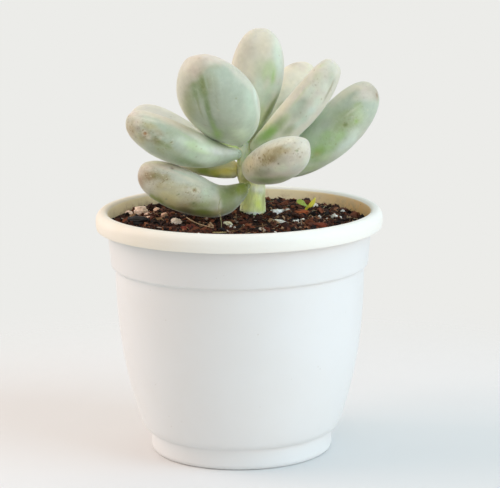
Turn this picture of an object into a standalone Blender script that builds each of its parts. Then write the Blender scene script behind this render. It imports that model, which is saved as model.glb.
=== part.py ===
"""Potted moonstone plant: a rosette of thick powdery leaves on one short leaning stem,
in a white moulded plastic pot of the nominal 10 cm (4 inch) size, with a bark potting mix.

The pot's axis is Z, the pot stands on z = 0, and the side that is looked at first faces -Y.
Everything below is worked out in millimetres and turned into metres as the meshes are made.
"""

import math

import bmesh
import bpy
from mathutils import Matrix, Vector, noise

MM = 0.001
GAP = 0.35  # clearance between pieces that touch

# ---------------------------------------------------------------- pot
POT_SEGMENTS = 64
POT_HEIGHT = 88.6
RIM_RADIUS = 51.8
RIM_DEPTH = 6.4  # the down-turned skirt
MOUTH_RADIUS = 47.5
WALL = 1.6
BAND_TOP_RADIUS = 47.95  # the plain band under the rim
BAND_FOOT_RADIUS = 46.5
STEP_Z = 68.5  # where the band steps in to the body
BODY_TOP_RADIUS = 45.1
BODY_TAPER = 0.6  # straight part of the body's taper, per 60 mm
BODY_BELLY = 9.0  # curved part of the body's taper, per 60 mm
BODY_POWER = 2.4
FOOT_RADIUS = 33.0
FOOT_HEIGHT = 7.8
FOOT_INNER_RADIUS = 30.6
FLOOR_UNDER_Z = 5.2
FLOOR_TOP_Z = 7.2
DRAIN_HOLES = 8
DRAIN_DIAMETER = 3.8
DRAIN_CIRCLE = 19.0

# ---------------------------------------------------------------- potting mix
SOIL_LEVEL = 83.9
MOUND_HEIGHT = 2.3
MOUND_CENTRE = (5.0, 5.0)
MOUND_WIDTH = 15.0
SOIL_SECTORS = 48

# ---------------------------------------------------------------- stem, bottom to top: centre, radius
STEM = (
    ((5.6, 5.0, 76.0), 3.6),
    ((5.1, 5.0, 83.0), 4.7),
    ((4.9, 5.0, 87.0), 4.7),
    ((5.1, 5.0, 91.0), 4.4),
    ((5.0, 5.1, 95.5), 4.4),
    ((3.4, 5.3, 99.5), 4.0),
    ((2.5, 5.2, 103.5), 3.3),
    ((2.2, 4.9, 107.5), 2.6),
    ((2.3, 4.7, 111.0), 1.8),
)
TAP_ROOT = (
    ((5.5, 4.6, 30.0), 0.6),
    ((6.3, 5.0, 42.0), 1.3),
    ((5.7, 4.8, 56.0), 2.1),
    ((6.3, 5.0, 68.0), 2.8),
)
SIDE_ROOTS = (
    (((5.9, 4.9, 73.0), 1.5), ((-4.0, -1.0, 66.0), 1.2), ((-14.0, -9.0, 59.0), 0.9), ((-21.0, -13.0, 50.0), 0.5)),
    (((6.0, 4.9, 66.0), 1.5), ((15.0, 0.0, 60.0), 1.2), ((24.0, -6.0, 55.0), 0.9), ((29.0, -12.0, 46.0), 0.5)),
    (((6.2, 5.0, 60.0), 1.4), ((7.0, 14.0, 54.0), 1.1), ((3.0, 23.0, 49.0), 0.8), ((-3.0, 30.0, 41.0), 0.5)),
)

# ---------------------------------------------------------------- leaves
# spine: control points from root to tip; width and thick: the fullest cross-section;
# belly: higher puts that section nearer the tip; blunt: lower makes a blunter tip;
# petiole: diameter at the root; face: the way the leaf's upper side looks;
# heel: share of the length over which a broad base rounds off where it clasps the stem.
LEAVES = {
    "leaf_top": dict(
        spine=((2.6, 7.6, 111.4), (7.6, 12.0, 135.2), (8.7, 15.5, 152.2)),
        width=19.2, thick=14.8, belly=0.78, blunt=0.47, petiole=2.8, face=(-0.22, -0.94, 0.28)),
    "leaf_front_left": dict(
        spine=((0.3, 1.8, 112.1), (-6.0, -10.5, 129.8), (-12.7, -25.0, 146.2)),
        width=29.4, thick=19.6, belly=0.71, blunt=0.60, petiole=2.8, face=(0.36, 0.55, 0.75)),
    "leaf_left": dict(
        spine=((-1.0, 2.7, 108.4), (-16.6, -8.0, 109.9), (-38.2, -17.5, 124.7)),
        width=21.0, thick=14.4, belly=0.75, blunt=0.48, petiole=5.0, face=(0.32, -0.02, 0.95)),
    "leaf_left_rear": dict(
        spine=((-1.5, 6.3, 102.0), (-7.5, 9.0, 102.2), (-23.7, 15.5, 112.9), (-38.6, 20.0, 121.6)),
        width=19.8, thick=14.9, belly=0.56, blunt=0.36, petiole=6.4, face=(0.21, -0.28, 0.94)),
    "leaf_low_left": dict(
        spine=((2.7, -3.6, 97.3), (-9.2, -5.0, 90.2), (-7.4, -8.0, 92.9), (-35.1, -12.0, 105.2)),
        width=19.2, thick=14.8, belly=0.69, blunt=0.41, petiole=9.3, heel=0.30, face=(0.09, -0.08, 0.99)),
    "leaf_front_right": dict(
        spine=((3.2, 0.9, 101.9), (13.3, -14.0, 107.5), (21.9, -30.0, 116.9)),
        width=18.4, thick=14.4, belly=0.60, blunt=0.55, petiole=3.2, face=(-0.16, 0.34, 0.92)),
    "leaf_right": dict(
        spine=((8.0, 5.5, 101.5), (21.9, 8.0, 100.1), (48.5, 6.0, 132.2)),
        width=21.2, thick=16.0, belly=0.75, blunt=0.44, petiole=3.6, face=(-0.43, -0.24, 0.87)),
    "leaf_upper_right": dict(
        spine=((5.1, 4.9, 109.1), (13.4, 2.0, 114.9), (22.9, -0.2, 124.9), (34.1, -1.5, 141.7)),
        width=17.5, thick=12.7, belly=0.39, blunt=0.30, petiole=3.0, face=(-0.56, 0.13, 0.82)),
    "leaf_rear_right": dict(
        spine=((4.9, 8.9, 108.8), (17.0, 28.6, 127.8), (26.8, 40.5, 135.7)),
        width=15.6, thick=11.4, belly=0.75, blunt=0.50, petiole=3.4, face=(-0.24, -0.83, 0.50)),
    "leaf_rear": dict(
        spine=((-0.2, 7.9, 108.0), (-5.0, 22.0, 119.0), (-11.0, 38.0, 131.0)),
        width=18.0, thick=13.2, belly=0.72, blunt=0.50, petiole=3.0, face=(0.30, -0.60, 0.80)),
    "leaf_rear_low": dict(
        spine=((4.3, 9.7, 101.6), (9.5, 23.5, 99.0), (21.0, 38.0, 108.5)),
        width=17.0, thick=12.4, belly=0.72, blunt=0.50, petiole=3.0, face=(-0.20, -0.60, 0.80)),
    "young_leaf_1": dict(
        spine=((0.9, 4.7, 113.0), (0.0, 4.9, 116.5), (-0.4, 5.5, 121.0)),
        width=4.4, thick=3.4, belly=0.70, blunt=0.50, petiole=1.6, face=(0.40, 0.60, 0.50)),
    "young_leaf_2": dict(
        spine=((3.5, 4.1, 113.0), (3.6, 3.5, 115.0), (2.9, 2.9, 117.6)),
        width=3.6, thick=2.8, belly=0.70, blunt=0.50, petiole=1.4, face=(-0.60, 0.10, 0.60)),
}
LEAF_RINGS = 14
LEAF_SIDES = 16
LEAF_TOP_SHARE = 0.86  # the upper side is flatter than the underside
LEAF_SQUARENESS = 2.25

# ---------------------------------------------------------------- loose pieces on the soil
# name: (x, y), (length, width, height), turn about Z in degrees
PERLITE = (
    ((-36.3, 17.0), (4.8, 4.2, 3.6), 20),
    ((-40.6, 14.2), (3.6, 3.2, 2.6), 75),
    ((-33.6, 12.9), (2.6, 2.4, 2.0), 10),
    ((-32.6, 4.2), (2.6, 2.2, 1.8), 130),
    ((-30.6, 22.0), (3.0, 2.8, 2.2), 60),
    ((-27.2, 8.4), (3.0, 2.6, 2.2), 95),
    ((-22.7, -6.6), (3.8, 3.4, 2.8), 35),
    ((-4.1, -13.1), (3.6, 2.6, 2.0), 150),
    ((13.6, 6.0), (4.4, 3.0, 1.8), 5),
    ((17.8, 12.6), (3.0, 2.6, 2.0), 80),
    ((14.3, -9.0), (4.4, 2.4, 1.6), 170),
    ((-12.0, 30.0), (4.2, 3.4, 2.8), 50),
    ((28.0, 27.0), (3.4, 3.0, 2.4), 110),
)
CHARCOAL = ((-36.4, -3.4), (8.0, 4.6, 3.4), -12)
BARK = (
    ((22.4, 5.0), (5.2, 3.4, 2.2), 25),
    ((27.7, -14.4), (7.4, 4.0, 1.6), -8),
    ((-18.1, -19.0), (5.4, 3.0, 1.6), 35),
    ((9.0, -18.0), (4.6, 2.6, 1.4), -30),
    ((-2.0, 38.0), (7.0, 3.6, 1.8), 70),
)
SEEDLING_AT = (24.2, 13.5)


# ================================================================ helpers
def smooth(t):
    t = min(max(t, 0.0), 1.0)
    return t * t * (3.0 - 2.0 * t)


def material(name, colour, roughness):
    mat = bpy.data.materials.new(name)
    mat.use_nodes = True
    shader = mat.node_tree.nodes["Principled BSDF"]
    shader.inputs["Base Color"].default_value = (*colour, 1.0)
    shader.inputs["Roughness"].default_value = roughness
    shader.inputs["Metallic"].default_value = 0.0
    mat.diffuse_color = (*colour, 1.0)
    return mat


def add_object(name, bm, colour, roughness, location=(0, 0, 0), rotation=(0, 0, 0)):
    """A mesh object from a bmesh in millimetres, with a material of its own."""
    bmesh.ops.scale(bm, vec=(MM, MM, MM), verts=bm.verts)
    mesh = bpy.data.meshes.new(name)
    bm.to_mesh(mesh)
    bm.free()
    mesh.shade_smooth()
    mesh.set_sharp_from_angle(angle=math.radians(40))
    obj = bpy.data.objects.new(name, mesh)
    obj.location = Vector(location) * MM
    obj.rotation_euler = rotation
    bpy.context.scene.collection.objects.link(obj)
    mesh.materials.append(material(name, colour, roughness))
    return obj


def loft(rings, tip=None):
    """A closed skin over rings of points: a flat cap on the first ring, and a cap or a point at the last."""
    bm = bmesh.new()
    loops = [[bm.verts.new(p) for p in ring] for ring in rings]
    count = len(loops[0])
    bm.faces.new(loops[0][::-1])
    for low, high in zip(loops, loops[1:]):
        for i in range(count):
            j = (i + 1) % count
            bm.faces.new((low[i], low[j], high[j], high[i]))
    if tip is None:
        bm.faces.new(loops[-1])
    else:
        top = bm.verts.new(tip)
        for i in range(count):
            bm.faces.new((loops[-1][i], loops[-1][(i + 1) % count], top))
    bmesh.ops.recalc_face_normals(bm, faces=bm.faces)
    return bm


def bezier(points, t):
    points = [Vector(p) for p in points]
    while len(points) > 1:
        points = [a.lerp(b, t) for a, b in zip(points, points[1:])]
    return points[0]


def along(points, share, steps=200):
    """Position and direction at a share of a Bezier curve's length."""
    places = [bezier(points, i / steps) for i in range(steps + 1)]
    lengths = [0.0]
    for a, b in zip(places, places[1:]):
        lengths.append(lengths[-1] + (b - a).length)
    wanted = share * lengths[-1]
    k = next((i for i in range(1, steps + 1) if lengths[i] >= wanted - 1e-9), steps)
    part = (wanted - lengths[k - 1]) / (lengths[k] - lengths[k - 1])
    t = (k - 1 + part) / steps
    slopes = [(Vector(b) - Vector(a)) for a, b in zip(points, points[1:])]
    return bezier(points, t), bezier(slopes, t).normalized()


def tube(path, sides, grow=0.0):
    """A round tube of changing radius through the given centres, smoothed between them, with flat ends."""
    centres = [Vector(c) for c, _ in path]
    radii = [r for _, r in path]
    fine, fine_r = [], []
    for i in range(len(centres) - 1):
        a, b = centres[i], centres[i + 1]
        before = centres[i - 1] if i else a * 2 - b
        after = centres[i + 2] if i + 2 < len(centres) else b * 2 - a
        for step in range(2):
            t = step / 2
            fine.append(0.5 * (2 * a + (b - before) * t + (2 * before - 5 * a + 4 * b - after) * t * t
                               + (3 * a - before - 3 * b + after) * t ** 3))
            fine_r.append(radii[i] + (radii[i + 1] - radii[i]) * t)
    fine.append(centres[-1])
    fine_r.append(radii[-1])
    rings = []
    for i, centre in enumerate(fine):
        ahead = (fine[min(i + 1, len(fine) - 1)] - fine[max(i - 1, 0)]).normalized()
        side = Vector((0, 1, 0)).cross(ahead)
        side = side.normalized() if side.length > 0.2 else Vector((1, 0, 0)).cross(ahead).normalized()
        other = ahead.cross(side)
        push = -grow if i == 0 else grow if i == len(fine) - 1 else 0.0
        radius = fine_r[i] + grow
        rings.append([centre + ahead * push + side * radius * math.cos(a) + other * radius * math.sin(a)
                      for a in (2 * math.pi * k / sides for k in range(sides))])
    return loft(rings)


def hidden(obj):
    obj.hide_render = True
    obj.display_type = "WIRE"
    return obj


def boolean(obj, other, operation):
    cut = obj.modifiers.new(operation.title() + " " + other.name, "BOOLEAN")
    cut.operation = operation
    cut.solver = "EXACT"
    cut.object = other


# ================================================================ pot
def body_radius(z):
    """Outer radius of the body below the step, tapering faster near the foot."""
    u = (STEP_Z - z) / 60.0
    return BODY_TOP_RADIUS - BODY_TAPER * u - BODY_BELLY * u ** BODY_POWER


def inner_radius(z):
    """Inner radius of the pot's wall at a height."""
    if z > STEP_Z + 2.5:
        share = (z - STEP_Z - 2.5) / (POT_HEIGHT - STEP_Z - 2.5)
        return (BAND_FOOT_RADIUS - WALL) + (MOUTH_RADIUS - BAND_FOOT_RADIUS + WALL) * share
    if z > STEP_Z - 0.5:
        share = (z - STEP_Z + 0.5) / 3.0
        return (body_radius(STEP_Z) - WALL) * (1 - share) + (BAND_FOOT_RADIUS - WALL) * share
    return body_radius(max(z, FOOT_HEIGHT + 1.2)) - WALL


def pot_profile():
    """Half section, from the floor's centre inside, up the wall, over the rim, down the outside and in below."""
    line = [(0.0, FLOOR_TOP_Z), (FOOT_INNER_RADIUS + 0.6, FLOOR_TOP_Z), (inner_radius(9.4), 9.4)]
    for z in (14.0, 20.0, 27.0, 35.0, 44.0, 55.0, 68.0):
        line.append((inner_radius(z), z))
    line += [(inner_radius(71.0), 71.0), (inner_radius(86.4), 86.4)]
    # the rolled rim
    line += [
        (MOUTH_RADIUS + 0.1, POT_HEIGHT - 0.7), (MOUTH_RADIUS + 0.5, POT_HEIGHT - 0.2),
        (MOUTH_RADIUS + 1.2, POT_HEIGHT), (RIM_RADIUS - 2.0, POT_HEIGHT - 0.2),
        (RIM_RADIUS - 0.9, POT_HEIGHT - 0.8), (RIM_RADIUS - 0.25, POT_HEIGHT - 1.6),
        (RIM_RADIUS, POT_HEIGHT - 2.6), (RIM_RADIUS - 0.1, POT_HEIGHT - RIM_DEPTH + 0.5),
        (RIM_RADIUS - 0.35, POT_HEIGHT - RIM_DEPTH), (RIM_RADIUS - 1.3, POT_HEIGHT - RIM_DEPTH),
        (RIM_RADIUS - 1.5, POT_HEIGHT - RIM_DEPTH + 0.3), (RIM_RADIUS - 1.6, POT_HEIGHT - 2.6),
        (BAND_TOP_RADIUS + 0.7, POT_HEIGHT - 2.2), (BAND_TOP_RADIUS + 0.1, POT_HEIGHT - 3.0),
    ]
    # the band, the step and the body
    line += [
        (BAND_TOP_RADIUS - 0.5, 74.5), (BAND_FOOT_RADIUS + 0.1, STEP_Z + 0.9),
        (BAND_FOOT_RADIUS - 0.3, STEP_Z + 0.3), (BODY_TOP_RADIUS + 0.2, STEP_Z),
    ]
    for z in (67.4, 55.0, 44.0, 35.0, 27.0, 20.0, 14.0, 10.0):
        line.append((body_radius(z), z))
    line += [(body_radius(8.9) - 0.3, 8.7), (body_radius(8.9) - 0.9, 8.1)]
    # the foot ring and the raised floor
    line += [
        (FOOT_RADIUS + 0.1, FOOT_HEIGHT), (FOOT_RADIUS, FOOT_HEIGHT - 0.8), (FOOT_RADIUS, 0.9),
        (FOOT_RADIUS - 0.3, 0.4), (FOOT_RADIUS - 0.8, 0.0), (FOOT_INNER_RADIUS, 0.0),
        (FOOT_INNER_RADIUS - 0.2, FLOOR_UNDER_Z), (0.0, FLOOR_UNDER_Z),
    ]
    return line


def make_pot():
    bm = bmesh.new()
    verts = [bm.verts.new((r * MM, 0.0, z * MM)) for r, z in pot_profile()]
    for a, b in zip(verts, verts[1:]):
        bm.edges.new((a, b))
    mesh = bpy.data.meshes.new("pot")
    bm.to_mesh(mesh)
    bm.free()
    pot = bpy.data.objects.new("pot", mesh)
    bpy.context.scene.collection.objects.link(pot)
    mesh.materials.append(material("pot", (0.86, 0.87, 0.88), 0.38))
    turn = pot.modifiers.new("Turned", "SCREW")
    turn.axis = "Z"
    turn.angle = 2 * math.pi
    turn.steps = turn.render_steps = POT_SEGMENTS
    turn.use_merge_vertices = True
    turn.merge_threshold = 0.00001
    turn.use_smooth_shade = True

    # one cutter holds all the drain holes
    bm = bmesh.new()
    for i in range(DRAIN_HOLES + 1):
        angle = 2 * math.pi * (i + 0.5) / DRAIN_HOLES
        reach = 0.0 if i == DRAIN_HOLES else DRAIN_CIRCLE
        bmesh.ops.create_cone(
            bm, cap_ends=True, segments=12, radius1=DRAIN_DIAMETER / 2 * MM, radius2=DRAIN_DIAMETER / 2 * MM,
            depth=6 * MM, matrix=Matrix.Translation(
                (reach * math.cos(angle) * MM, reach * math.sin(angle) * MM,
                 (FLOOR_UNDER_Z + FLOOR_TOP_Z) / 2 * MM)))
    mesh = bpy.data.meshes.new("drain_cutter")
    bm.to_mesh(mesh)
    bm.free()
    cutter = hidden(bpy.data.objects.new("drain_cutter", mesh))
    bpy.context.scene.collection.objects.link(cutter)
    boolean(pot, cutter, "DIFFERENCE")
    return pot


# ================================================================ potting mix
def soil_height(x, y):
    """The surface of the mix: a low mound round the stem, gentle lumps, lower at the right and the front."""
    reach = math.hypot(x, y)
    mound = math.exp(-((x - MOUND_CENTRE[0]) ** 2 + (y - MOUND_CENTRE[1]) ** 2) / (2 * MOUND_WIDTH ** 2))
    lumps = 0.5 * math.sin(0.33 * x + 1.3) * math.cos(0.29 * y - 0.4) + 0.35 * math.sin(0.71 * x - 0.37 * y + 2.0)
    return (SOIL_LEVEL + MOUND_HEIGHT * mound + lumps * smooth((46.5 - reach) / 9)
            - 0.9 * smooth((x - 20) / 27) - 1.2 * smooth((-y - 18) / 20))


def make_soil(root_cutters):
    turns = [2 * math.pi * k / SOIL_SECTORS for k in range(SOIL_SECTORS)]
    rings = []
    for z in (FLOOR_TOP_Z + GAP, 9.6, 20.0, 35.0, 55.0, 67.2, 71.6):
        radius = inner_radius(z) - GAP - 0.15
        if z < 8:
            radius = FOOT_INNER_RADIUS
        rings.append([(radius * math.cos(a), radius * math.sin(a), z) for a in turns])
    edge = inner_radius(SOIL_LEVEL) - GAP - 0.25
    for share in (1.0, 0.965, 0.92, 0.86, 0.79, 0.71, 0.62, 0.52, 0.42, 0.32, 0.22, 0.12):
        ring = []
        for a in turns:
            x, y = edge * share * math.cos(a), edge * share * math.sin(a)
            ring.append((x, y, soil_height(x, y)))
        rings.append(ring)
    bm = loft(rings, tip=(0, 0, soil_height(0, 0)))
    soil = add_object("potting_mix", bm, (0.055, 0.022, 0.014), 0.95)
    for cutter in root_cutters:
        boolean(soil, cutter, "DIFFERENCE")
    return soil


# ================================================================ stem and roots
def make_stem():
    """The stem with its buried foot and roots, one living piece. Returns it with the cutters for its place in the mix."""
    main = TAP_ROOT + STEM
    stem = add_object("stem_and_roots", tube(main, 14), (0.36, 0.43, 0.24), 0.6)
    for i, root in enumerate(SIDE_ROOTS):
        piece = hidden(add_object(f"side_root_{i + 1}", tube(root, 8), (0.55, 0.45, 0.3), 0.8))
        boolean(stem, piece, "UNION")
    cutters = [hidden(add_object("stem_cutter", tube(main, 14, GAP), (1, 1, 1), 1))]
    for i, root in enumerate(SIDE_ROOTS):
        cutters.append(hidden(add_object(f"root_cutter_{i + 1}", tube(root, 8, GAP), (1, 1, 1), 1)))
    return stem, cutters


# ================================================================ leaves
def leaf_rings(leaf):
    """Cross-sections along the spine: a superellipse that swells from the petiole and closes bluntly at the tip."""
    belly, blunt = leaf["belly"], leaf["blunt"]
    peak = belly / (belly + blunt)
    norm = peak ** belly * (1 - peak) ** blunt
    face = Vector(leaf["face"])
    rings = []
    for i in range(LEAF_RINGS):
        s = (1 - math.cos(math.pi * i / LEAF_RINGS)) / 2
        centre, ahead = along(leaf["spine"], s)
        up = (face - ahead * face.dot(ahead)).normalized()
        side = ahead.cross(up)
        swell = s ** belly * (1 - s) ** blunt / norm
        stalk = leaf["petiole"] / 2 * (1 - s) ** 3
        half_w = math.hypot(leaf["width"] / 2 * swell, stalk)
        half_t = math.hypot(leaf["thick"] / 2 * swell, stalk * 0.9)
        if s < leaf.get("heel", 0):
            closing = 0.25 + 0.75 * math.sqrt(1 - (1 - s / leaf["heel"]) ** 2)
            half_w, half_t = half_w * closing, half_t * closing
        ring = []
        for k in range(LEAF_SIDES):
            a = 2 * math.pi * k / LEAF_SIDES
            c, d = math.cos(a), math.sin(a)
            u = math.copysign(abs(c) ** (2 / LEAF_SQUARENESS), c)
            v = math.copysign(abs(d) ** (2 / LEAF_SQUARENESS), d)
            v *= LEAF_TOP_SHARE if v > 0 else 2 - LEAF_TOP_SHARE
            ring.append(centre + side * half_w * u + up * half_t * v)
        rings.append(ring)
    return rings, along(leaf["spine"], 1.0)[0]


def make_leaves():
    tones = ((0.47, 0.56, 0.47), (0.50, 0.57, 0.50), (0.45, 0.55, 0.44), (0.52, 0.55, 0.47))
    for i, (name, leaf) in enumerate(LEAVES.items()):
        rings, tip = leaf_rings(leaf)
        add_object(name, loft(rings, tip), tones[i % len(tones)], 0.55)


# ================================================================ loose pieces
def lump(name, at, size, turn, colour, roughness, rough, squareness, seed):
    """A broken grain: a small sphere pulled towards a box, roughened, and set down on the mix."""
    bm = bmesh.new()
    bmesh.ops.create_icosphere(bm, subdivisions=2, radius=1.0)
    for vert in bm.verts:
        co = vert.co.copy()
        boxed = Vector([math.copysign(abs(c) ** squareness, c) for c in co])
        scale = 1 + rough * noise.noise(co * 1.7 + Vector((seed * 7.3, seed * 3.1, seed * 1.7)))
        vert.co = Vector((boxed.x * size[0] / 2, boxed.y * size[1] / 2, boxed.z * size[2] / 2)) * scale
    low = min(v.co.z for v in bm.verts)
    reach = max(size[0], size[1]) / 2
    ground = max(soil_height(at[0] + reach * dx, at[1] + reach * dy)
                 for dx in (-0.8, -0.4, 0.0, 0.4, 0.8) for dy in (-0.8, -0.4, 0.0, 0.4, 0.8))
    return add_object(name, bm, colour, roughness, location=(at[0], at[1], ground + GAP - low),
                      rotation=(0, 0, math.radians(turn)))


def make_loose_pieces():
    for i, (at, size, turn) in enumerate(PERLITE):
        lump(f"perlite_{i + 1:02d}", at, size, turn, (0.74, 0.68, 0.62), 0.9, 0.35, 0.8, i + 1)
    at, size, turn = CHARCOAL
    lump("charcoal_chunk", at, size, turn, (0.012, 0.010, 0.012), 0.8, 0.25, 0.6, 40)
    for i, (at, size, turn) in enumerate(BARK):
        lump(f"bark_chip_{i + 1}", at, size, turn, (0.20, 0.06, 0.025), 0.85, 0.25, 0.6, 50 + i)


def make_seedling():
    """A weed seedling: a short stalk that ends in one narrow leaf, with one round leaf beside it."""
    x, y = SEEDLING_AT
    z = soil_height(x, y) + 0.7
    stalk = tube((((x, y, z), 0.45), ((x + 0.6, y, z + 1.2), 0.45), ((x + 2.2, y - 0.2, z + 2.0), 0.6),
                  ((x + 3.6, y, z + 3.6), 0.35)), 8)
    seedling = add_object("seedling", stalk, (0.55, 0.55, 0.05), 0.5)
    leaflet = tube((((x + 0.7, y, z + 1.3), 0.4), ((x - 0.6, y + 0.2, z + 2.2), 0.9),
                    ((x - 2.0, y + 0.3, z + 2.5), 1.0), ((x - 3.2, y + 0.3, z + 2.4), 0.4)), 8)
    leaflet = hidden(add_object("seedling_leaflet", leaflet, (0.25, 0.45, 0.05), 0.5))
    boolean(seedling, leaflet, "UNION")


# ================================================================ build
for old in list(bpy.data.objects):
    bpy.data.objects.remove(old, do_unlink=True)

make_pot()
stem, cutters = make_stem()
make_soil(cutters)
make_leaves()
make_loose_pieces()
make_seedling()
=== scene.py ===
"""Looks of the potted moonstone plant: powdery leaves, stem, potting mix with its loose grains, and the white pot.

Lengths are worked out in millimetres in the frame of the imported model, and become metres as each mesh is made.
"""

import math

import bpy
import numpy as np
from mathutils import Matrix, Vector
from mathutils.bvhtree import BVHTree


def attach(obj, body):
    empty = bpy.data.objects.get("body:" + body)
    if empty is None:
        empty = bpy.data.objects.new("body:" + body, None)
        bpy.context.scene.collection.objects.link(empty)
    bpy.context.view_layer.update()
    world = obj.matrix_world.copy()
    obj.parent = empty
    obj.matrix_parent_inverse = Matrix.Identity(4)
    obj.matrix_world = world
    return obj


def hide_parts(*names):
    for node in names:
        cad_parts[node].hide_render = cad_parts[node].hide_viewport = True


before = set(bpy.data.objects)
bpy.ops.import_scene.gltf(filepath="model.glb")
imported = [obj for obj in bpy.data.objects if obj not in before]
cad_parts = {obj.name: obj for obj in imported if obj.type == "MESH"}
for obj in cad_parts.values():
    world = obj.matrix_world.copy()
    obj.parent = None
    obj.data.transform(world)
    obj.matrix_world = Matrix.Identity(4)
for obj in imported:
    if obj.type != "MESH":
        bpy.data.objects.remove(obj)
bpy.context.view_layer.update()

MM = 0.001
GAP = 0.35

# ================================================================ the picture frame
# focal length in pixels of a frame 500 wide and 488 high, and the viewpoint in millimetres
FOCAL = 2240.0
EYE = (3.79, -796.2, 233.5)
PITCH = math.radians(11.23)
ROLL = math.radians(0.63)


def to_frame(points):
    """Where points (millimetres) lie in the 500 x 488 frame."""
    d = points - np.array(EYE)
    cp, sp, cr, sr = math.cos(PITCH), math.sin(PITCH), math.cos(ROLL), math.sin(ROLL)
    depth = d[:, 1] * cp - d[:, 2] * sp
    up = d[:, 1] * sp + d[:, 2] * cp
    return (250 + FOCAL * (d[:, 0] * cr - up * sr) / depth,
            244 - FOCAL * (d[:, 0] * sr + up * cr) / depth)


# ================================================================ numbers
def srgb(*c):
    """0..255 display colour to linear light."""
    c = np.array(c, float) / 255.0
    return np.where(c <= 0.04045, c / 12.92, ((c + 0.055) / 1.055) ** 2.4)


def smooth(t):
    t = np.clip(t, 0.0, 1.0)
    return t * t * (3.0 - 2.0 * t)


def step(a, b, x):
    return smooth((x - a) / (b - a))


def cell(ix, iy, iz, seed):
    h = (ix * 73856093) ^ (iy * 19349663) ^ (iz * 83492791) ^ (seed * 2654435761)
    h = (h ^ (h >> 13)) & 0x7FFFFFFF
    h = (h * 1274126177) & 0x7FFFFFFF
    h = (h ^ (h >> 15)) & 0x7FFFFFFF
    return (h % 65536) / 32767.5 - 1.0


def noise(points, scale, seed=0):
    """Smooth value noise from -1 to 1, with features about scale long."""
    q = np.asarray(points, float) / scale
    low = np.floor(q).astype(np.int64)
    f = q - low
    w = f * f * f * (f * (f * 6 - 15) + 10)
    total = np.zeros(len(q))
    for dx in (0, 1):
        wx = w[:, 0] if dx else 1 - w[:, 0]
        for dy in (0, 1):
            wy = w[:, 1] if dy else 1 - w[:, 1]
            for dz in (0, 1):
                wz = w[:, 2] if dz else 1 - w[:, 2]
                total += wx * wy * wz * cell(low[:, 0] + dx, low[:, 1] + dy, low[:, 2] + dz, seed)
    return total


def fbm(points, scale, octaves=3, seed=0, gain=0.5):
    total, weight, top = 0.0, 1.0, 0.0
    for k in range(octaves):
        total = total + weight * noise(points + 17.3 * k, scale / 2 ** k, seed + k)
        top += weight
        weight *= gain
    return total / top


# ================================================================ meshes
def make_mesh(name, verts, faces, material, smooth_angle=None, tone=None, fields=None):
    """A mesh object from points in millimetres. faces is a list of index arrays of 3 or 4 columns."""
    mesh = bpy.data.meshes.new(name)
    polys = []
    for block in faces:
        polys.extend(np.asarray(block).tolist())
    mesh.from_pydata((np.asarray(verts, float) * MM).tolist(), [], polys)
    mesh.validate()
    mesh.update()
    if smooth_angle is None:
        mesh.shade_smooth()
    elif smooth_angle > 0:
        mesh.shade_smooth()
        mesh.set_sharp_from_angle(angle=math.radians(smooth_angle))
    if tone is not None:
        layer = mesh.color_attributes.new(name="tone", type="FLOAT_COLOR", domain="POINT")
        rgba = np.ones((len(mesh.vertices), 4), np.float32)
        rgba[:, :3] = np.clip(tone, 0.0, 1.0)
        layer.data.foreach_set("color", rgba.ravel())
    for key, values in (fields or {}).items():
        layer = mesh.attributes.new(key, "FLOAT", "POINT")
        layer.data.foreach_set("value", np.asarray(values, np.float32))
    obj = bpy.data.objects.new(name, mesh)
    bpy.context.scene.collection.objects.link(obj)
    mesh.materials.append(material)
    return obj


def grid_faces(rings, sides, start=0):
    """Quads of a tube of rings that close round."""
    i, k = np.meshgrid(np.arange(rings - 1), np.arange(sides), indexing="ij")
    a = start + i * sides + k
    b = start + i * sides + (k + 1) % sides
    return np.stack([a, b, b + sides, a + sides], -1).reshape(-1, 4)


def fan_faces(first, sides, centre, flip=False):
    k = np.arange(sides)
    a, b = first + k, first + (k + 1) % sides
    c = np.full(sides, centre)
    return np.stack([b, a, c] if flip else [a, b, c], -1)


def closed_tube(rings):
    """Points and faces of a tube of rings (rings x sides x 3), closed at both ends by a middle point."""
    n, m = rings.shape[:2]
    verts = np.concatenate([rings.reshape(-1, 3), rings[0].mean(0)[None], rings[-1].mean(0)[None]])
    return verts, [grid_faces(n, m), fan_faces(0, m, n * m, flip=True), fan_faces((n - 1) * m, m, n * m + 1)]


def outward(rings):
    """Unit normals of a tube of rings."""
    around = np.roll(rings, -1, 1) - np.roll(rings, 1, 1)
    ahead = np.gradient(rings, axis=0)
    n = np.cross(around, ahead)
    n /= np.maximum(np.linalg.norm(n, axis=2, keepdims=True), 1e-9)
    out = rings - rings.mean(1, keepdims=True)
    sign = np.sign((n * out).sum(2, keepdims=True))
    return n * np.where(sign == 0, 1, sign)


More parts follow.
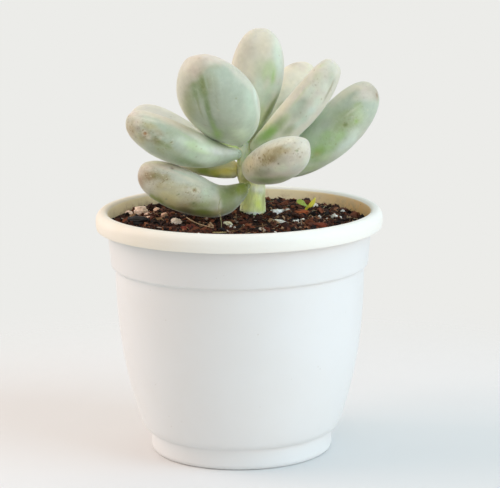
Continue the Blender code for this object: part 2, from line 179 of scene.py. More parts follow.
def ico(level):
    """Points and triangles of a unit icosphere."""
    g = (1 + 5 ** 0.5) / 2
    v = [(-1, g, 0), (1, g, 0), (-1, -g, 0), (1, -g, 0), (0, -1, g), (0, 1, g), (0, -1, -g), (0, 1, -g),
         (g, 0, -1), (g, 0, 1), (-g, 0, -1), (-g, 0, 1)]
    v = [np.array(p) / np.linalg.norm(p) for p in v]
    f = [(0, 11, 5), (0, 5, 1), (0, 1, 7), (0, 7, 10), (0, 10, 11), (1, 5, 9), (5, 11, 4), (11, 10, 2), (10, 7, 6),
         (7, 1, 8), (3, 9, 4), (3, 4, 2), (3, 2, 6), (3, 6, 8), (3, 8, 9), (4, 9, 5), (2, 4, 11), (6, 2, 10),
         (8, 6, 7), (9, 8, 1)]
    for _ in range(level):
        middle, out = {}, []

        def mid(a, b):
            key = (min(a, b), max(a, b))
            if key not in middle:
                p = v[a] + v[b]
                v.append(p / np.linalg.norm(p))
                middle[key] = len(v) - 1
            return middle[key]

        for a, b, c in f:
            ab, bc, ca = mid(a, b), mid(b, c), mid(c, a)
            out += [(a, ab, ca), (b, bc, ab), (c, ca, bc), (ab, bc, ca)]
        f = out
    return np.array(v), np.array(f)


def turns(rng, count):
    """Random rotation matrices."""
    q = rng.normal(size=(count, 4))
    q /= np.linalg.norm(q, axis=1, keepdims=True)
    w, x, y, z = q.T
    return np.stack([
        1 - 2 * (y * y + z * z), 2 * (x * y - z * w), 2 * (x * z + y * w),
        2 * (x * y + z * w), 1 - 2 * (x * x + z * z), 2 * (y * z - x * w),
        2 * (x * z - y * w), 2 * (y * z + x * w), 1 - 2 * (x * x + y * y)], -1).reshape(-1, 3, 3)


def about_z(angles):
    c, s, o = np.cos(angles), np.sin(angles), np.zeros(len(angles))
    return np.stack([c, -s, o, s, c, o, o, o, o + 1], -1).reshape(-1, 3, 3)


# ================================================================ shader helpers
class Shader:
    """A material with one Principled shader, and short calls to add nodes before it."""

    def __init__(self, name, **sockets):
        self.material = bpy.data.materials.new(name)
        self.material.use_nodes = True
        self.tree = self.material.node_tree
        self.shader = self.tree.nodes["Principled BSDF"]
        for key, value in sockets.items():
            self.shader.inputs[key.replace("_", " ")].default_value = value

    def add(self, kind, settings=None, **sockets):
        node = self.tree.nodes.new(kind)
        for key, value in (settings or {}).items():
            setattr(node, key, value)
        for key, value in sockets.items():
            self.feed(node.inputs[int(key[1:]) if key[0] == "i" and key[1:].isdigit() else key.replace("_", " ")], value)
        return node

    def feed(self, socket, value):
        if isinstance(value, bpy.types.NodeSocket):
            self.tree.links.new(value, socket)
        elif hasattr(socket.default_value, "__len__") and hasattr(value, "__len__") \
                and len(socket.default_value) == 4 and len(value) == 3:
            socket.default_value = (*value, 1.0)
        else:
            socket.default_value = value

    def place(self):
        return self.add("ShaderNodeTexCoord").outputs["Object"]

    def stretched(self, scale, turn=(0, 0, 0)):
        return self.add("ShaderNodeMapping", None, Vector=self.place(), Scale=scale, Rotation=turn).outputs[0]

    def noise(self, size_mm, detail=3.0, rough=0.55, at=None, distortion=0.0):
        """Noise from 0 to 1 with features of about size_mm."""
        return self.add("ShaderNodeTexNoise", None, Vector=at or self.place(), Scale=1000.0 / size_mm / 2,
                        Detail=detail, Roughness=rough, Distortion=distortion).outputs["Fac"]

    def cells(self, size_mm, at=None, feature="F1"):
        return self.add("ShaderNodeTexVoronoi", {"feature": feature}, Vector=at or self.place(),
                        Scale=1000.0 / size_mm).outputs["Distance"]

    def attribute(self, name):
        node = self.add("ShaderNodeAttribute", {"attribute_name": name})
        return node.outputs["Color"] if name == "tone" else node.outputs["Fac"]

    def scale(self, value, low, high, to_low=0.0, to_high=1.0):
        """Maps low..high to to_low..to_high, smoothly and clamped."""
        return self.add("ShaderNodeMapRange", {"interpolation_type": "SMOOTHSTEP"}, Value=value, From_Min=low,
                        From_Max=high, To_Min=to_low, To_Max=to_high).outputs[0]

    def math(self, how, a, b=0.0):
        return self.add("ShaderNodeMath", {"operation": how}, i0=a, i1=b).outputs[0]

    def mix(self, factor, a, b, how="MIX"):
        node = self.add("ShaderNodeMix", {"data_type": "RGBA", "blend_type": how})
        self.feed(node.inputs[0], factor)
        self.feed(node.inputs[6], a)
        self.feed(node.inputs[7], b)
        return node.outputs[2]

    def grey(self, value):
        node = self.add("ShaderNodeCombineColor")
        for i in range(3):
            self.feed(node.inputs[i], value)
        return node.outputs[0]

    def height(self):
        return self.add("ShaderNodeSeparateXYZ", None, Vector=self.place()).outputs["Z"]

    def across(self):
        return self.add("ShaderNodeSeparateXYZ", None, Vector=self.place()).outputs["X"]

    def bump(self, value, distance_mm, strength=1.0, before=None):
        node = self.add("ShaderNodeBump", None, Height=value, Distance=distance_mm * MM, Strength=strength)
        if before is not None:
            self.feed(node.inputs["Normal"], before)
        return node.outputs[0]

    def set(self, **sockets):
        for key, value in sockets.items():
            self.feed(self.shader.inputs[key.replace("_", " ")], value)


# ================================================================ materials
PALE = 0.85
POT_PALE = 0.875


def leaf_skin():
    """Waxy flesh under a powdery bloom. 'tone' holds the flesh and bloom colour with painted light and shade, 'bloom'
    how much powder is left.
    """
    s = Shader("leaf_skin")
    s.set(Subsurface_Weight=0.40, Subsurface_Radius=(0.95, 1.0, 0.70), Subsurface_Scale=0.0060,
          Sheen_Weight=0.50, Sheen_Roughness=0.32, Sheen_Tint=(1.0, 0.985, 0.95), IOR=1.42,
          Specular_IOR_Level=0.30)
    tone = s.attribute("tone")
    bloom = s.attribute("bloom")
    fleck = s.attribute("fleck")
    cloud = s.noise(2.4, 5.0, 0.65)
    powder = s.noise(0.55, 5.0, 0.7)
    colour = s.mix(s.scale(cloud, 0.50, 0.74, 0.0, 0.12), tone, srgb(236, 232, 216))
    colour = s.mix(s.scale(cloud, 0.26, 0.50, 0.15, 0.0), colour, (0.52, 0.58, 0.40), "MULTIPLY")
    dust = s.math("MULTIPLY", s.scale(powder, 0.50, 0.74), bloom)
    colour = s.mix(s.math("MULTIPLY", dust, 0.12), colour, srgb(232, 232, 220))
    pores = s.scale(s.cells(0.62), 0.02, 0.20, 0.10, 0.0)
    colour = s.mix(pores, colour, (0.28, 0.34, 0.20), "MULTIPLY")
    # irregular specks: dark ones, and fewer pale ones
    bent = s.add("ShaderNodeVectorMath", {"operation": "ADD"}, i0=s.place(), i1=s.add(
        "ShaderNodeVectorMath", {"operation": "SCALE"}, i0=s.add(
            "ShaderNodeTexNoise", None, Vector=s.place(), Scale=900.0, Detail=2.0).outputs["Color"],
        Scale=0.0011).outputs[0]).outputs[0]
    for size, wide, share, dark in ((1.7, 0.30, 0.40, True), (0.95, 0.32, 0.36, True), (1.3, 0.28, 0.52, False)):
        spots = s.add("ShaderNodeTexVoronoi", None, Vector=bent, Scale=1000.0 / size)
        kept = s.scale(s.add("ShaderNodeSeparateColor", None, Color=spots.outputs["Color"]).outputs[0], share, share + 0.05)
        spot = s.math("MULTIPLY", s.scale(spots.outputs["Distance"], 0.06, wide, 1.0, 0.0), kept)
        spot = s.math("MULTIPLY", spot, fleck)
        if dark:
            colour = s.mix(s.math("MULTIPLY", spot, 0.85), colour, (0.52, 0.42, 0.30), "MULTIPLY")
        else:
            colour = s.mix(s.math("MULTIPLY", spot, 0.40), colour, srgb(236, 228, 206))
    s.set(Base_Color=colour, Roughness=s.scale(bloom, 0.0, 1.0, 0.40, 0.66))
    low = s.bump(s.noise(2.6, 3.0), 0.16, 0.30)
    s.set(Normal=s.bump(powder, 0.05, 0.35, low))
    return s.material


def stem_skin():
    s = Shader("stem_skin")
    s.set(Subsurface_Weight=0.70, Subsurface_Radius=(0.9, 1.0, 0.46), Subsurface_Scale=0.0065,
          Sheen_Weight=0.10, Sheen_Roughness=0.5, IOR=1.42, Specular_IOR_Level=0.35)
    tone = s.attribute("tone")
    streak = s.noise(1.1, 4.0, 0.65, at=s.stretched((1.0, 1.0, 0.28)))
    colour = s.mix(s.scale(streak, 0.36, 0.68, 0.34, 0.0), tone, srgb(120, 128, 78), "MULTIPLY")
    colour = s.mix(s.scale(s.noise(0.6, 4.0), 0.55, 0.75, 0.0, 0.18), colour, srgb(216, 222, 200))
    s.set(Base_Color=colour, Roughness=s.scale(streak, 0.3, 0.7, 0.5, 0.72))
    s.set(Normal=s.bump(streak, 0.12, 0.5))
    return s.material


def pot_plastic():
    """White moulded plastic, aged to cream on the rim and inside, with faint scuffs and splashes, with painted warm
    light on the left of the rim and the right of the inside, and a painted glow on the inside.
    """
    s = Shader("pot_plastic")
    s.set(IOR=1.46, Specular_IOR_Level=0.42, Subsurface_Weight=0.10, Subsurface_Radius=(1.0, 0.95, 0.85),
          Subsurface_Scale=0.0022)
    z = s.height()
    patch = s.noise(16.0, 4.0, 0.6)
    fine = s.noise(2.2, 5.0, 0.65)
    inside = s.attribute("inside")
    rim = s.attribute("rim")
    white = s.mix(s.scale(patch, 0.35, 0.7, 0.0, 0.35), srgb(240, 241, 240), srgb(236, 235, 231))
    aged = s.mix(s.scale(patch, 0.36, 0.66, 0.0, 1.0), srgb(247, 238, 217), srgb(250, 243, 228))
    # the aged cream fades from the left to the right of the rim: partly yellowing, partly painted warm light from the
    # left
    lean = s.scale(s.across(), -0.048, -0.006, 1.0, 0.22)
    colour = s.mix(rim, white, srgb(254, 255, 250))
    colour = s.mix(s.math("MULTIPLY", rim, lean), colour, aged)
    # the inside turns deeper orange towards the right: partly yellowing, partly painted warm light falling there
    yellowing_and_warm_light = s.scale(s.across(), 0.020, 0.045)
    wall = s.mix(yellowing_and_warm_light, srgb(254, 243, 206), srgb(238, 198, 132))
    wall = s.mix(s.scale(fine, 0.40, 0.68, 0.0, 0.3), wall, srgb(250, 236, 202))
    colour = s.mix(inside, colour, wall)
    # dried splashes and dust from the mix, close above it on the inside
    near_mix = s.math("MULTIPLY", s.scale(z, 0.0835, 0.0880, 1.0, 0.0), inside)
    stain = s.math("MULTIPLY", near_mix, s.scale(fine, 0.46, 0.64))
    colour = s.mix(s.math("MULTIPLY", stain, 0.5), colour, srgb(150, 120, 88))
    specks = s.scale(s.cells(3.1), 0.03, 0.10, 1.0, 0.0)
    specks = s.math("MULTIPLY", specks, s.scale(s.noise(9.0, 2.0), 0.60, 0.66))
    colour = s.mix(s.math("MULTIPLY", specks, 0.35), colour, srgb(176, 160, 138))
    # painted glow: the inside keeps its full colour while the rest is darkened to match the brighter lamps, standing in
    # for light through the thin wall
    colour = s.mix(s.math("SUBTRACT", 1.0, inside), colour, (POT_PALE, POT_PALE, POT_PALE), "MULTIPLY")
    s.set(Base_Color=colour, Roughness=s.scale(fine, 0.30, 0.75, 0.40, 0.52))
    swirl = s.noise(5.0, 2.0, 0.4)
    low = s.bump(swirl, 0.05, 0.25)
    scuff = s.noise(0.5, 3.0, 0.6, at=s.stretched((1.0, 1.0, 3.2)))
    s.set(Normal=s.bump(scuff, 0.012, 0.30, low))
    return s.material


def mix_earth():
    s = Shader("potting_mix_look")
    s.set(Specular_IOR_Level=0.25)
    clump = s.noise(2.4, 5.0, 0.68)
    grain = s.noise(0.6, 5.0, 0.7)
    colour = s.mix(s.scale(clump, 0.38, 0.66), srgb(24, 15, 13), srgb(72, 38, 28))
    colour = s.mix(s.scale(grain, 0.56, 0.72, 0.0, 0.6), colour, srgb(96, 56, 40))
    s.set(Base_Color=colour, Roughness=0.92)
    s.set(Normal=s.bump(grain, 0.35, 0.9))
    return s.material


def crumb_skin():
    """Bits of bark, peat and fibre: each bit's own colour, with grain."""
    s = Shader("mix_crumbs")
    s.set(Specular_IOR_Level=0.28)
    grain = s.noise(0.42, 4.0, 0.7)
    colour = s.mix(s.scale(grain, 0.34, 0.66, 0.62, 0.0), s.attribute("tone"), (0.18, 0.15, 0.13), "MULTIPLY")
    s.set(Base_Color=colour, Roughness=s.scale(grain, 0.3, 0.7, 0.72, 0.95))
    s.set(Normal=s.bump(grain, 0.16, 0.8))
    return s.material


def perlite_skin():
    s = Shader("perlite_look")
    s.set(Specular_IOR_Level=0.3, Subsurface_Weight=0.12, Subsurface_Radius=(1.0, 0.9, 0.8), Subsurface_Scale=0.0009)
    pit = s.cells(0.55)
    grime = s.noise(1.5, 5.0, 0.7)
    colour = s.mix(s.scale(grime, 0.50, 0.74, 0.0, 0.55), s.attribute("tone"), srgb(190, 154, 126))
    colour = s.mix(s.scale(pit, 0.03, 0.24, 0.45, 0.0), colour, srgb(120, 92, 76), "MULTIPLY")
    s.set(Base_Color=colour, Roughness=0.9)
    s.set(Normal=s.bump(s.scale(pit, 0.0, 0.4), 0.22, 0.9, s.bump(grime, 0.3, 0.5)))
    return s.material


def charcoal_skin():
    s = Shader("charcoal_look")
    s.set(Specular_IOR_Level=0.5)
    ridge = s.noise(0.5, 4.0, 0.6, at=s.stretched((0.25, 1.0, 1.0), (0, 0, 0.2)))
    colour = s.mix(s.scale(ridge, 0.45, 0.75), srgb(9, 9, 12), srgb(38, 36, 42))
    s.set(Base_Color=colour, Roughness=s.scale(ridge, 0.3, 0.7, 0.45, 0.75))
    s.set(Normal=s.bump(ridge, 0.25, 0.9))
    return s.material


def bark_skin():
    s = Shader("bark_look")
    s.set(Specular_IOR_Level=0.3)
    fibre = s.noise(0.7, 5.0, 0.7, at=s.stretched((0.3, 1.0, 1.0)))
    colour = s.mix(s.scale(fibre, 0.34, 0.68), s.attribute("tone"), srgb(60, 26, 17))
    colour = s.mix(s.scale(s.noise(0.5, 4.0), 0.60, 0.75, 0.0, 0.5), colour, srgb(168, 112, 78))
    s.set(Base_Color=colour, Roughness=0.82)
    s.set(Normal=s.bump(fibre, 0.3, 0.9))
    return s.material


def shoot_skin():
    s = Shader("seedling_look")
    s.set(Subsurface_Weight=0.2, Subsurface_Radius=(0.8, 1.0, 0.2), Subsurface_Scale=0.0008, Roughness=0.42,
          Specular_IOR_Level=0.4)
    vein = s.noise(0.5, 3.0)
    s.set(Base_Color=s.mix(s.scale(vein, 0.35, 0.7, 0.0, 0.3), s.attribute("tone"), srgb(224, 222, 120)))
    s.set(Normal=s.bump(vein, 0.06, 0.5))
    return s.material


LEAF_SKIN = leaf_skin()
STEM_SKIN = stem_skin()
POT_PLASTIC = pot_plastic()
EARTH = mix_earth()
CRUMBS = crumb_skin()
PERLITE_SKIN = perlite_skin()
CHARCOAL_SKIN = charcoal_skin()
BARK_SKIN = bark_skin()
SHOOT_SKIN = shoot_skin()


# ================================================================ pot
POT_HEIGHT = 88.6
RIM_RADIUS = 51.8
RIM_DEPTH = 6.4
MOUTH_RADIUS = 47.5
WALL = 1.6
BAND_TOP_RADIUS = 47.95
BAND_FOOT_RADIUS = 46.5
STEP_Z = 68.5
BODY_TOP_RADIUS = 45.1
FOOT_RADIUS = 33.0
FOOT_HEIGHT = 7.8
FOOT_INNER_RADIUS = 30.6
FLOOR_UNDER_Z = 5.2
FLOOR_TOP_Z = 7.2
DRAIN_HOLES = 8
DRAIN_DIAMETER = 3.8
DRAIN_CIRCLE = 19.0


def body_radius(z):
    u = (STEP_Z - z) / 60.0
    return BODY_TOP_RADIUS - 0.6 * u - 9.0 * max(u, 0.0) ** 2.4


def inner_radius(z):
    if z > STEP_Z + 2.5:
        share = (z - STEP_Z - 2.5) / (POT_HEIGHT - STEP_Z - 2.5)
        return (BAND_FOOT_RADIUS - WALL) + (MOUTH_RADIUS - BAND_FOOT_RADIUS + WALL) * share
    if z > STEP_Z - 0.5:
        share = (z - STEP_Z + 0.5) / 3.0
        return (body_radius(STEP_Z) - WALL) * (1 - share) + (BAND_FOOT_RADIUS - WALL) * share
    return body_radius(max(z, FOOT_HEIGHT + 1.2)) - WALL


def rounded(points, radii, steps=7):
    """A polyline whose corners are turned into small curves. radii says how far each corner's curve reaches."""
    out = [np.array(points[0], float)]
    for i in range(1, len(points) - 1):
        before, here, after = (np.array(points[j], float) for j in (i - 1, i, i + 1))
        reach = radii[i]
        if reach <= 0:
            out.append(here)
            continue
        a = here + (before - here) / np.linalg.norm(before - here) * min(reach, 0.48 * np.linalg.norm(before - here))
        b = here + (after - here) / np.linalg.norm(after - here) * min(reach, 0.48 * np.linalg.norm(after - here))
        for t in np.linspace(0, 1, steps):
            out.append((1 - t) ** 2 * a + 2 * t * (1 - t) * here + t * t * b)
    out.append(np.array(points[-1], float))
    return out


def pot_profile():
    """Half section from the mouth inside, over the rolled rim and down the outside to the foot, then up the inside.
    Each point has a mark: 1 on the rim, 0 elsewhere."""
    corners = [
        # (radius, height, corner reach, mark)
        (inner_radius(83.0), 83.0, 0, 2), (inner_radius(86.0), 86.0, 0.6, 2),
        (MOUTH_RADIUS - 0.05, POT_HEIGHT - 0.9, 0.5, 1), (MOUTH_RADIUS + 0.75, POT_HEIGHT, 0.75, 1),
        (RIM_RADIUS - 1.5, POT_HEIGHT, 1.5, 1), (RIM_RADIUS, POT_HEIGHT - 2.0, 1.5, 1),
        (RIM_RADIUS, POT_HEIGHT - RIM_DEPTH + 1.4, 0.8, 1), (RIM_RADIUS - 0.3, POT_HEIGHT - RIM_DEPTH, 0.35, 1),
        (RIM_RADIUS - 1.3, POT_HEIGHT - RIM_DEPTH, 0.3, 1), (RIM_RADIUS - 1.6, POT_HEIGHT - 3.0, 0.6, 1),
        (BAND_TOP_RADIUS + 0.35, POT_HEIGHT - 2.2, 0.6, 0), (BAND_TOP_RADIUS + 0.05, POT_HEIGHT - 4.0, 0.8, 0),
        (BAND_FOOT_RADIUS + 0.15, STEP_Z + 1.3, 1.2, 0), (BAND_FOOT_RADIUS - 0.1, STEP_Z + 0.1, 0.7, 0),
        (BODY_TOP_RADIUS + 0.1, STEP_Z - 0.35, 0.7, 0),
    ]
    for z in list(np.linspace(66.5, 11.5, 26)):
        corners.append((body_radius(z), z, 0, 0))
    corners += [
        (body_radius(9.4) - 0.05, 9.6, 0.8, 0), (body_radius(8.9) - 0.9, 8.2, 0.6, 0),
        (FOOT_RADIUS + 0.35, FOOT_HEIGHT + 0.15, 0.5, 0), (FOOT_RADIUS - 0.05, FOOT_HEIGHT - 0.8, 0.8, 0),
        (FOOT_RADIUS, 1.2, 0.8, 0), (FOOT_RADIUS - 0.75, 0.0, 0.8, 0), (FOOT_INNER_RADIUS, 0.0, 0.3, 0),
        (FOOT_INNER_RADIUS - 0.2, FLOOR_UNDER_Z, 0.6, 0), (24.0, FLOOR_UNDER_Z, 0, 0),
    ]
    line = rounded([(r, z) for r, z, _, _ in corners], [c[2] for c in corners])
    marks = []
    for r, z in line:
        outside = 0.0
        if z > POT_HEIGHT - RIM_DEPTH - 0.2 and r > MOUTH_RADIUS - 0.4 and not (
                r < BAND_TOP_RADIUS + 0.9 and z < POT_HEIGHT - 1.2):
            outside = 1.0
        marks.append(outside)
    return np.array(line), np.array(marks)


def make_pot():
    sides = 224
    line, rim = pot_profile()
    # inner wall, from the mouth down to the floor
    inner = [(inner_radius(z), z) for z in (76.0, 71.0, 68.0, 55.0, 44.0, 35.0, 27.0, 20.0, 14.0, 9.4)]
    inner += [(FOOT_INNER_RADIUS + 0.6, FLOOR_TOP_Z), (24.0, FLOOR_TOP_Z)]
    profile = np.array(inner[::-1] + [tuple(p) for p in line])
    rim = np.concatenate([np.zeros(len(inner)), rim])
    inside = np.zeros(len(profile))
    inside[:len(inner)] = 1.0
    for i in range(len(inner), len(profile)):
        r, z = profile[i]
        if z > 80 and r < MOUTH_RADIUS + 0.4 and i < len(inner) + 12:
            inside[i] = float(1 - step(POT_HEIGHT - 1.3, POT_HEIGHT - 0.25, z))
    a = 2 * np.pi * np.arange(sides) / sides
    rings = np.stack([profile[:, :1] * np.cos(a), profile[:, :1] * np.sin(a),
                      np.repeat(profile[:, 1:], sides, 1)], -1)
    # the moulding is very slightly out of true
    flat = rings.reshape(-1, 3)
    wave = 0.06 * noise(np.c_[np.cos(np.tile(a, len(profile))) * 3, np.sin(np.tile(a, len(profile))) * 3,
                              flat[:, 2] / 25], 1.0, 5)
    reach = np.hypot(flat[:, 0], flat[:, 1])
    keep = np.minimum(step(9.0, 16.0, flat[:, 2]), 1 - step(79.0, 82.0, flat[:, 2]))
    scale = 1 - np.abs(wave) * keep / reach
    flat[:, 0] *= scale
    flat[:, 1] *= scale
    n = len(profile)
    verts = [flat]
    faces = [grid_faces(n, sides)]
    total = len(flat)
    # the raised floor with its drain holes: an annular sheet cut by round holes, above and below
    hole_sides = 20

    def floor_sheet(z, first_ring, flip):
        nonlocal total
        points, polys = [], []
        holes = [(DRAIN_CIRCLE * math.cos(2 * math.pi * (i + 0.5) / DRAIN_HOLES),
                  DRAIN_CIRCLE * math.sin(2 * math.pi * (i + 0.5) / DRAIN_HOLES)) for i in range(DRAIN_HOLES)]
        # each hole sits in its own wedge of the ring from radius 8 to 24; a fan joins the hole to the wedge's outline
        per = sides // DRAIN_HOLES
        inner_ring = [total + i for i in range(sides)]
        points += [(8.0 * math.cos(t), 8.0 * math.sin(t), z) for t in a]
        total += sides
        hole_rings = []
        for i, (hx, hy) in enumerate(holes):
            start = i * per
            outer = [first_ring + (start + k) % sides for k in range(per + 1)]
            inner_part = [inner_ring[(start + k) % sides] for k in range(per + 1)]
            outline = outer + inner_part[::-1]
            middle = 2 * math.pi * (i + 0.5) / DRAIN_HOLES
            places = [(24.0 * math.cos(a[(start + k) % sides]), 24.0 * math.sin(a[(start + k) % sides])) for k in
                      range(per + 1)]
            places += [(8.0 * math.cos(a[(start + k) % sides]), 8.0 * math.sin(a[(start + k) % sides])) for k in
                       range(per + 1)][::-1]
            ring = []
            angles = [math.atan2(y - hy, x - hx) for x, y in places]
            for t in angles:
                points.append((hx + DRAIN_DIAMETER / 2 * math.cos(t), hy + DRAIN_DIAMETER / 2 * math.sin(t), z))
                ring.append(total)
                total += 1
            hole_rings.append(ring)
            m = len(outline)
            for k in range(m):
                j = (k + 1) % m
                quad = [outline[k], outline[j], ring[j], ring[k]]
                polys.append(quad[::-1] if flip else quad)
        # the middle disc with the central hole
        centre = []
        for t in a:
            points.append((DRAIN_DIAMETER / 2 * math.cos(t), DRAIN_DIAMETER / 2 * math.sin(t), z))
            centre.append(total)
            total += 1
        for k in range(sides):
            j = (k + 1) % sides
            quad = [inner_ring[k], inner_ring[j], centre[j], centre[k]]
            polys.append(quad[::-1] if flip else quad)
        return points, polys, hole_rings, centre

    top_points, top_polys, top_holes, top_centre = floor_sheet(FLOOR_TOP_Z, 0, False)
    low_points, low_polys, low_holes, low_centre = floor_sheet(FLOOR_UNDER_Z, (n - 1) * sides, True)
    verts += [np.array(top_points), np.array(low_points)]
    walls = []
    for upper, lower in list(zip(top_holes, low_holes)) + [(top_centre, low_centre)]:
        m = len(upper)
        for k in range(m):
            j = (k + 1) % m
            walls.append([upper[k], upper[j], lower[j], lower[k]])
    faces += [np.array(top_polys), np.array(low_polys), np.array(walls)]
    verts = np.concatenate(verts)
    rim_all = np.zeros(len(verts))
    inside_all = np.zeros(len(verts))
    rim_all[:n * sides] = np.repeat(rim, sides)
    inside_all[:n * sides] = np.repeat(inside, sides)
    inside_all[n * sides:n * sides + len(top_points)] = 1.0
    pot = make_mesh("pot_shell", verts, faces, POT_PLASTIC, 40, fields={"rim": rim_all, "inside": inside_all})
    fix_normals(pot)
    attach(pot, "root")
    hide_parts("pot")
    return pot


def fix_normals(obj):
    import bmesh
    bm = bmesh.new()
    bm.from_mesh(obj.data)
    bmesh.ops.recalc_face_normals(bm, faces=bm.faces)
    bm.to_mesh(obj.data)
    bm.free()


# ================================================================ leaves
LEAF_TOP_SHARE = 0.86
LEAF_SQUARENESS = 2.25
LEAVES = {
    "leaf_top": dict(
        spine=((2.6, 7.6, 111.4), (7.6, 12.0, 135.2), (8.7, 15.5, 152.2)),
        width=19.2, thick=14.8, belly=0.78, blunt=0.47, petiole=2.8, face=(-0.22, -0.94, 0.28)),
    "leaf_front_left": dict(
        spine=((0.3, 1.8, 112.1), (-6.0, -10.5, 129.8), (-12.7, -25.0, 146.2)),
        width=29.4, thick=19.6, belly=0.71, blunt=0.60, petiole=2.8, face=(0.36, 0.55, 0.75)),
    "leaf_left": dict(
        spine=((-1.0, 2.7, 108.4), (-16.6, -8.0, 109.9), (-38.2, -17.5, 124.7)),
        width=21.0, thick=14.4, belly=0.75, blunt=0.48, petiole=5.0, face=(0.32, -0.02, 0.95)),
    "leaf_left_rear": dict(
        spine=((-1.5, 6.3, 102.0), (-7.5, 9.0, 102.2), (-23.7, 15.5, 112.9), (-38.6, 20.0, 121.6)),
        width=19.8, thick=14.9, belly=0.56, blunt=0.36, petiole=6.4, face=(0.21, -0.28, 0.94)),
    "leaf_low_left": dict(
        spine=((2.7, -3.6, 97.3), (-9.2, -5.0, 90.2), (-7.4, -8.0, 92.9), (-35.1, -12.0, 105.2)),
        width=19.2, thick=14.8, belly=0.69, blunt=0.41, petiole=9.3, heel=0.30, face=(0.09, -0.08, 0.99)),
    "leaf_front_right": dict(
        spine=((3.2, 0.9, 101.9), (13.3, -14.0, 107.5), (21.9, -30.0, 116.9)),
        width=18.4, thick=14.4, belly=0.60, blunt=0.55, petiole=3.2, face=(-0.16, 0.34, 0.92)),
    "leaf_right": dict(
        spine=((8.0, 5.5, 101.5), (21.9, 8.0, 100.1), (48.5, 6.0, 132.2)),
        width=21.2, thick=16.0, belly=0.75, blunt=0.44, petiole=3.6, face=(-0.43, -0.24, 0.87)),
    "leaf_upper_right": dict(
        spine=((5.1, 4.9, 109.1), (13.4, 2.0, 114.9), (22.9, -0.2, 124.9), (34.1, -1.5, 141.7)),
        width=17.5, thick=12.7, belly=0.39, blunt=0.30, petiole=3.0, face=(-0.56, 0.13, 0.82)),
    "leaf_rear_right": dict(
        spine=((4.9, 8.9, 108.8), (17.0, 28.6, 127.8), (26.8, 40.5, 135.7)),
        width=15.6, thick=11.4, belly=0.75, blunt=0.50, petiole=3.4, face=(-0.24, -0.83, 0.50)),
    "leaf_rear": dict(
        spine=((-0.2, 7.9, 108.0), (-5.0, 22.0, 119.0), (-11.0, 38.0, 131.0)),
        width=18.0, thick=13.2, belly=0.72, blunt=0.50, petiole=3.0, face=(0.30, -0.60, 0.80)),
    "leaf_rear_low": dict(
        spine=((4.3, 9.7, 101.6), (9.5, 23.5, 99.0), (21.0, 38.0, 108.5)),
        width=17.0, thick=12.4, belly=0.72, blunt=0.50, petiole=3.0, face=(-0.20, -0.60, 0.80)),
    "young_leaf_1": dict(
        spine=((0.9, 4.7, 113.0), (0.0, 4.9, 116.5), (-0.4, 5.5, 121.0)),
        width=4.4, thick=3.4, belly=0.70, blunt=0.50, petiole=1.6, face=(0.40, 0.60, 0.50)),
    "young_leaf_2": dict(
        spine=((3.5, 4.1, 113.0), (3.6, 3.5, 115.0), (2.9, 2.9, 117.6)),
        width=3.6, thick=2.8, belly=0.70, blunt=0.50, petiole=1.4, face=(-0.60, 0.10, 0.60)),
}

# skin colours of the leaves
TONES = {
    "pearl": (209, 205, 190), "rose": (213, 201, 187), "linen": (221, 214, 192), "ivory": (230, 226, 206),
    "frost": (210, 221, 203), "snow": (250, 253, 244), "foam": (228, 246, 220), "grey": (193, 193, 176),
    "dove": (176, 166, 150), "mauve": (156, 137, 115), "clay": (173, 161, 134), "sage": (176, 187, 169),
    "mist": (190, 206, 187), "dew": (208, 222, 208), "mint": (186, 208, 176), "pistachio": (202, 224, 178),
    "celery": (190, 206, 160), "leek": (161, 191, 119), "lime": (150, 186, 104), "olive": (156, 164, 127),
    "moss": (132, 145, 90), "bronze": (151, 143, 103), "drab": (129, 125, 82), "umber": (145, 122, 85),
    "khaki": (183, 171, 122), "straw": (222, 212, 148), "gold": (242, 221, 112), "bottle": (142, 160, 72),
    "bark": (150, 104, 66), "rust": (192, 142, 96), "fern": (129, 152, 105), "jade": (162, 176, 133), "fresh": (168, 196, 141), "butter": (238, 222, 186), "citron": (198, 198, 98),
}
TONES = {k: srgb(*v) for k, v in TONES.items()}
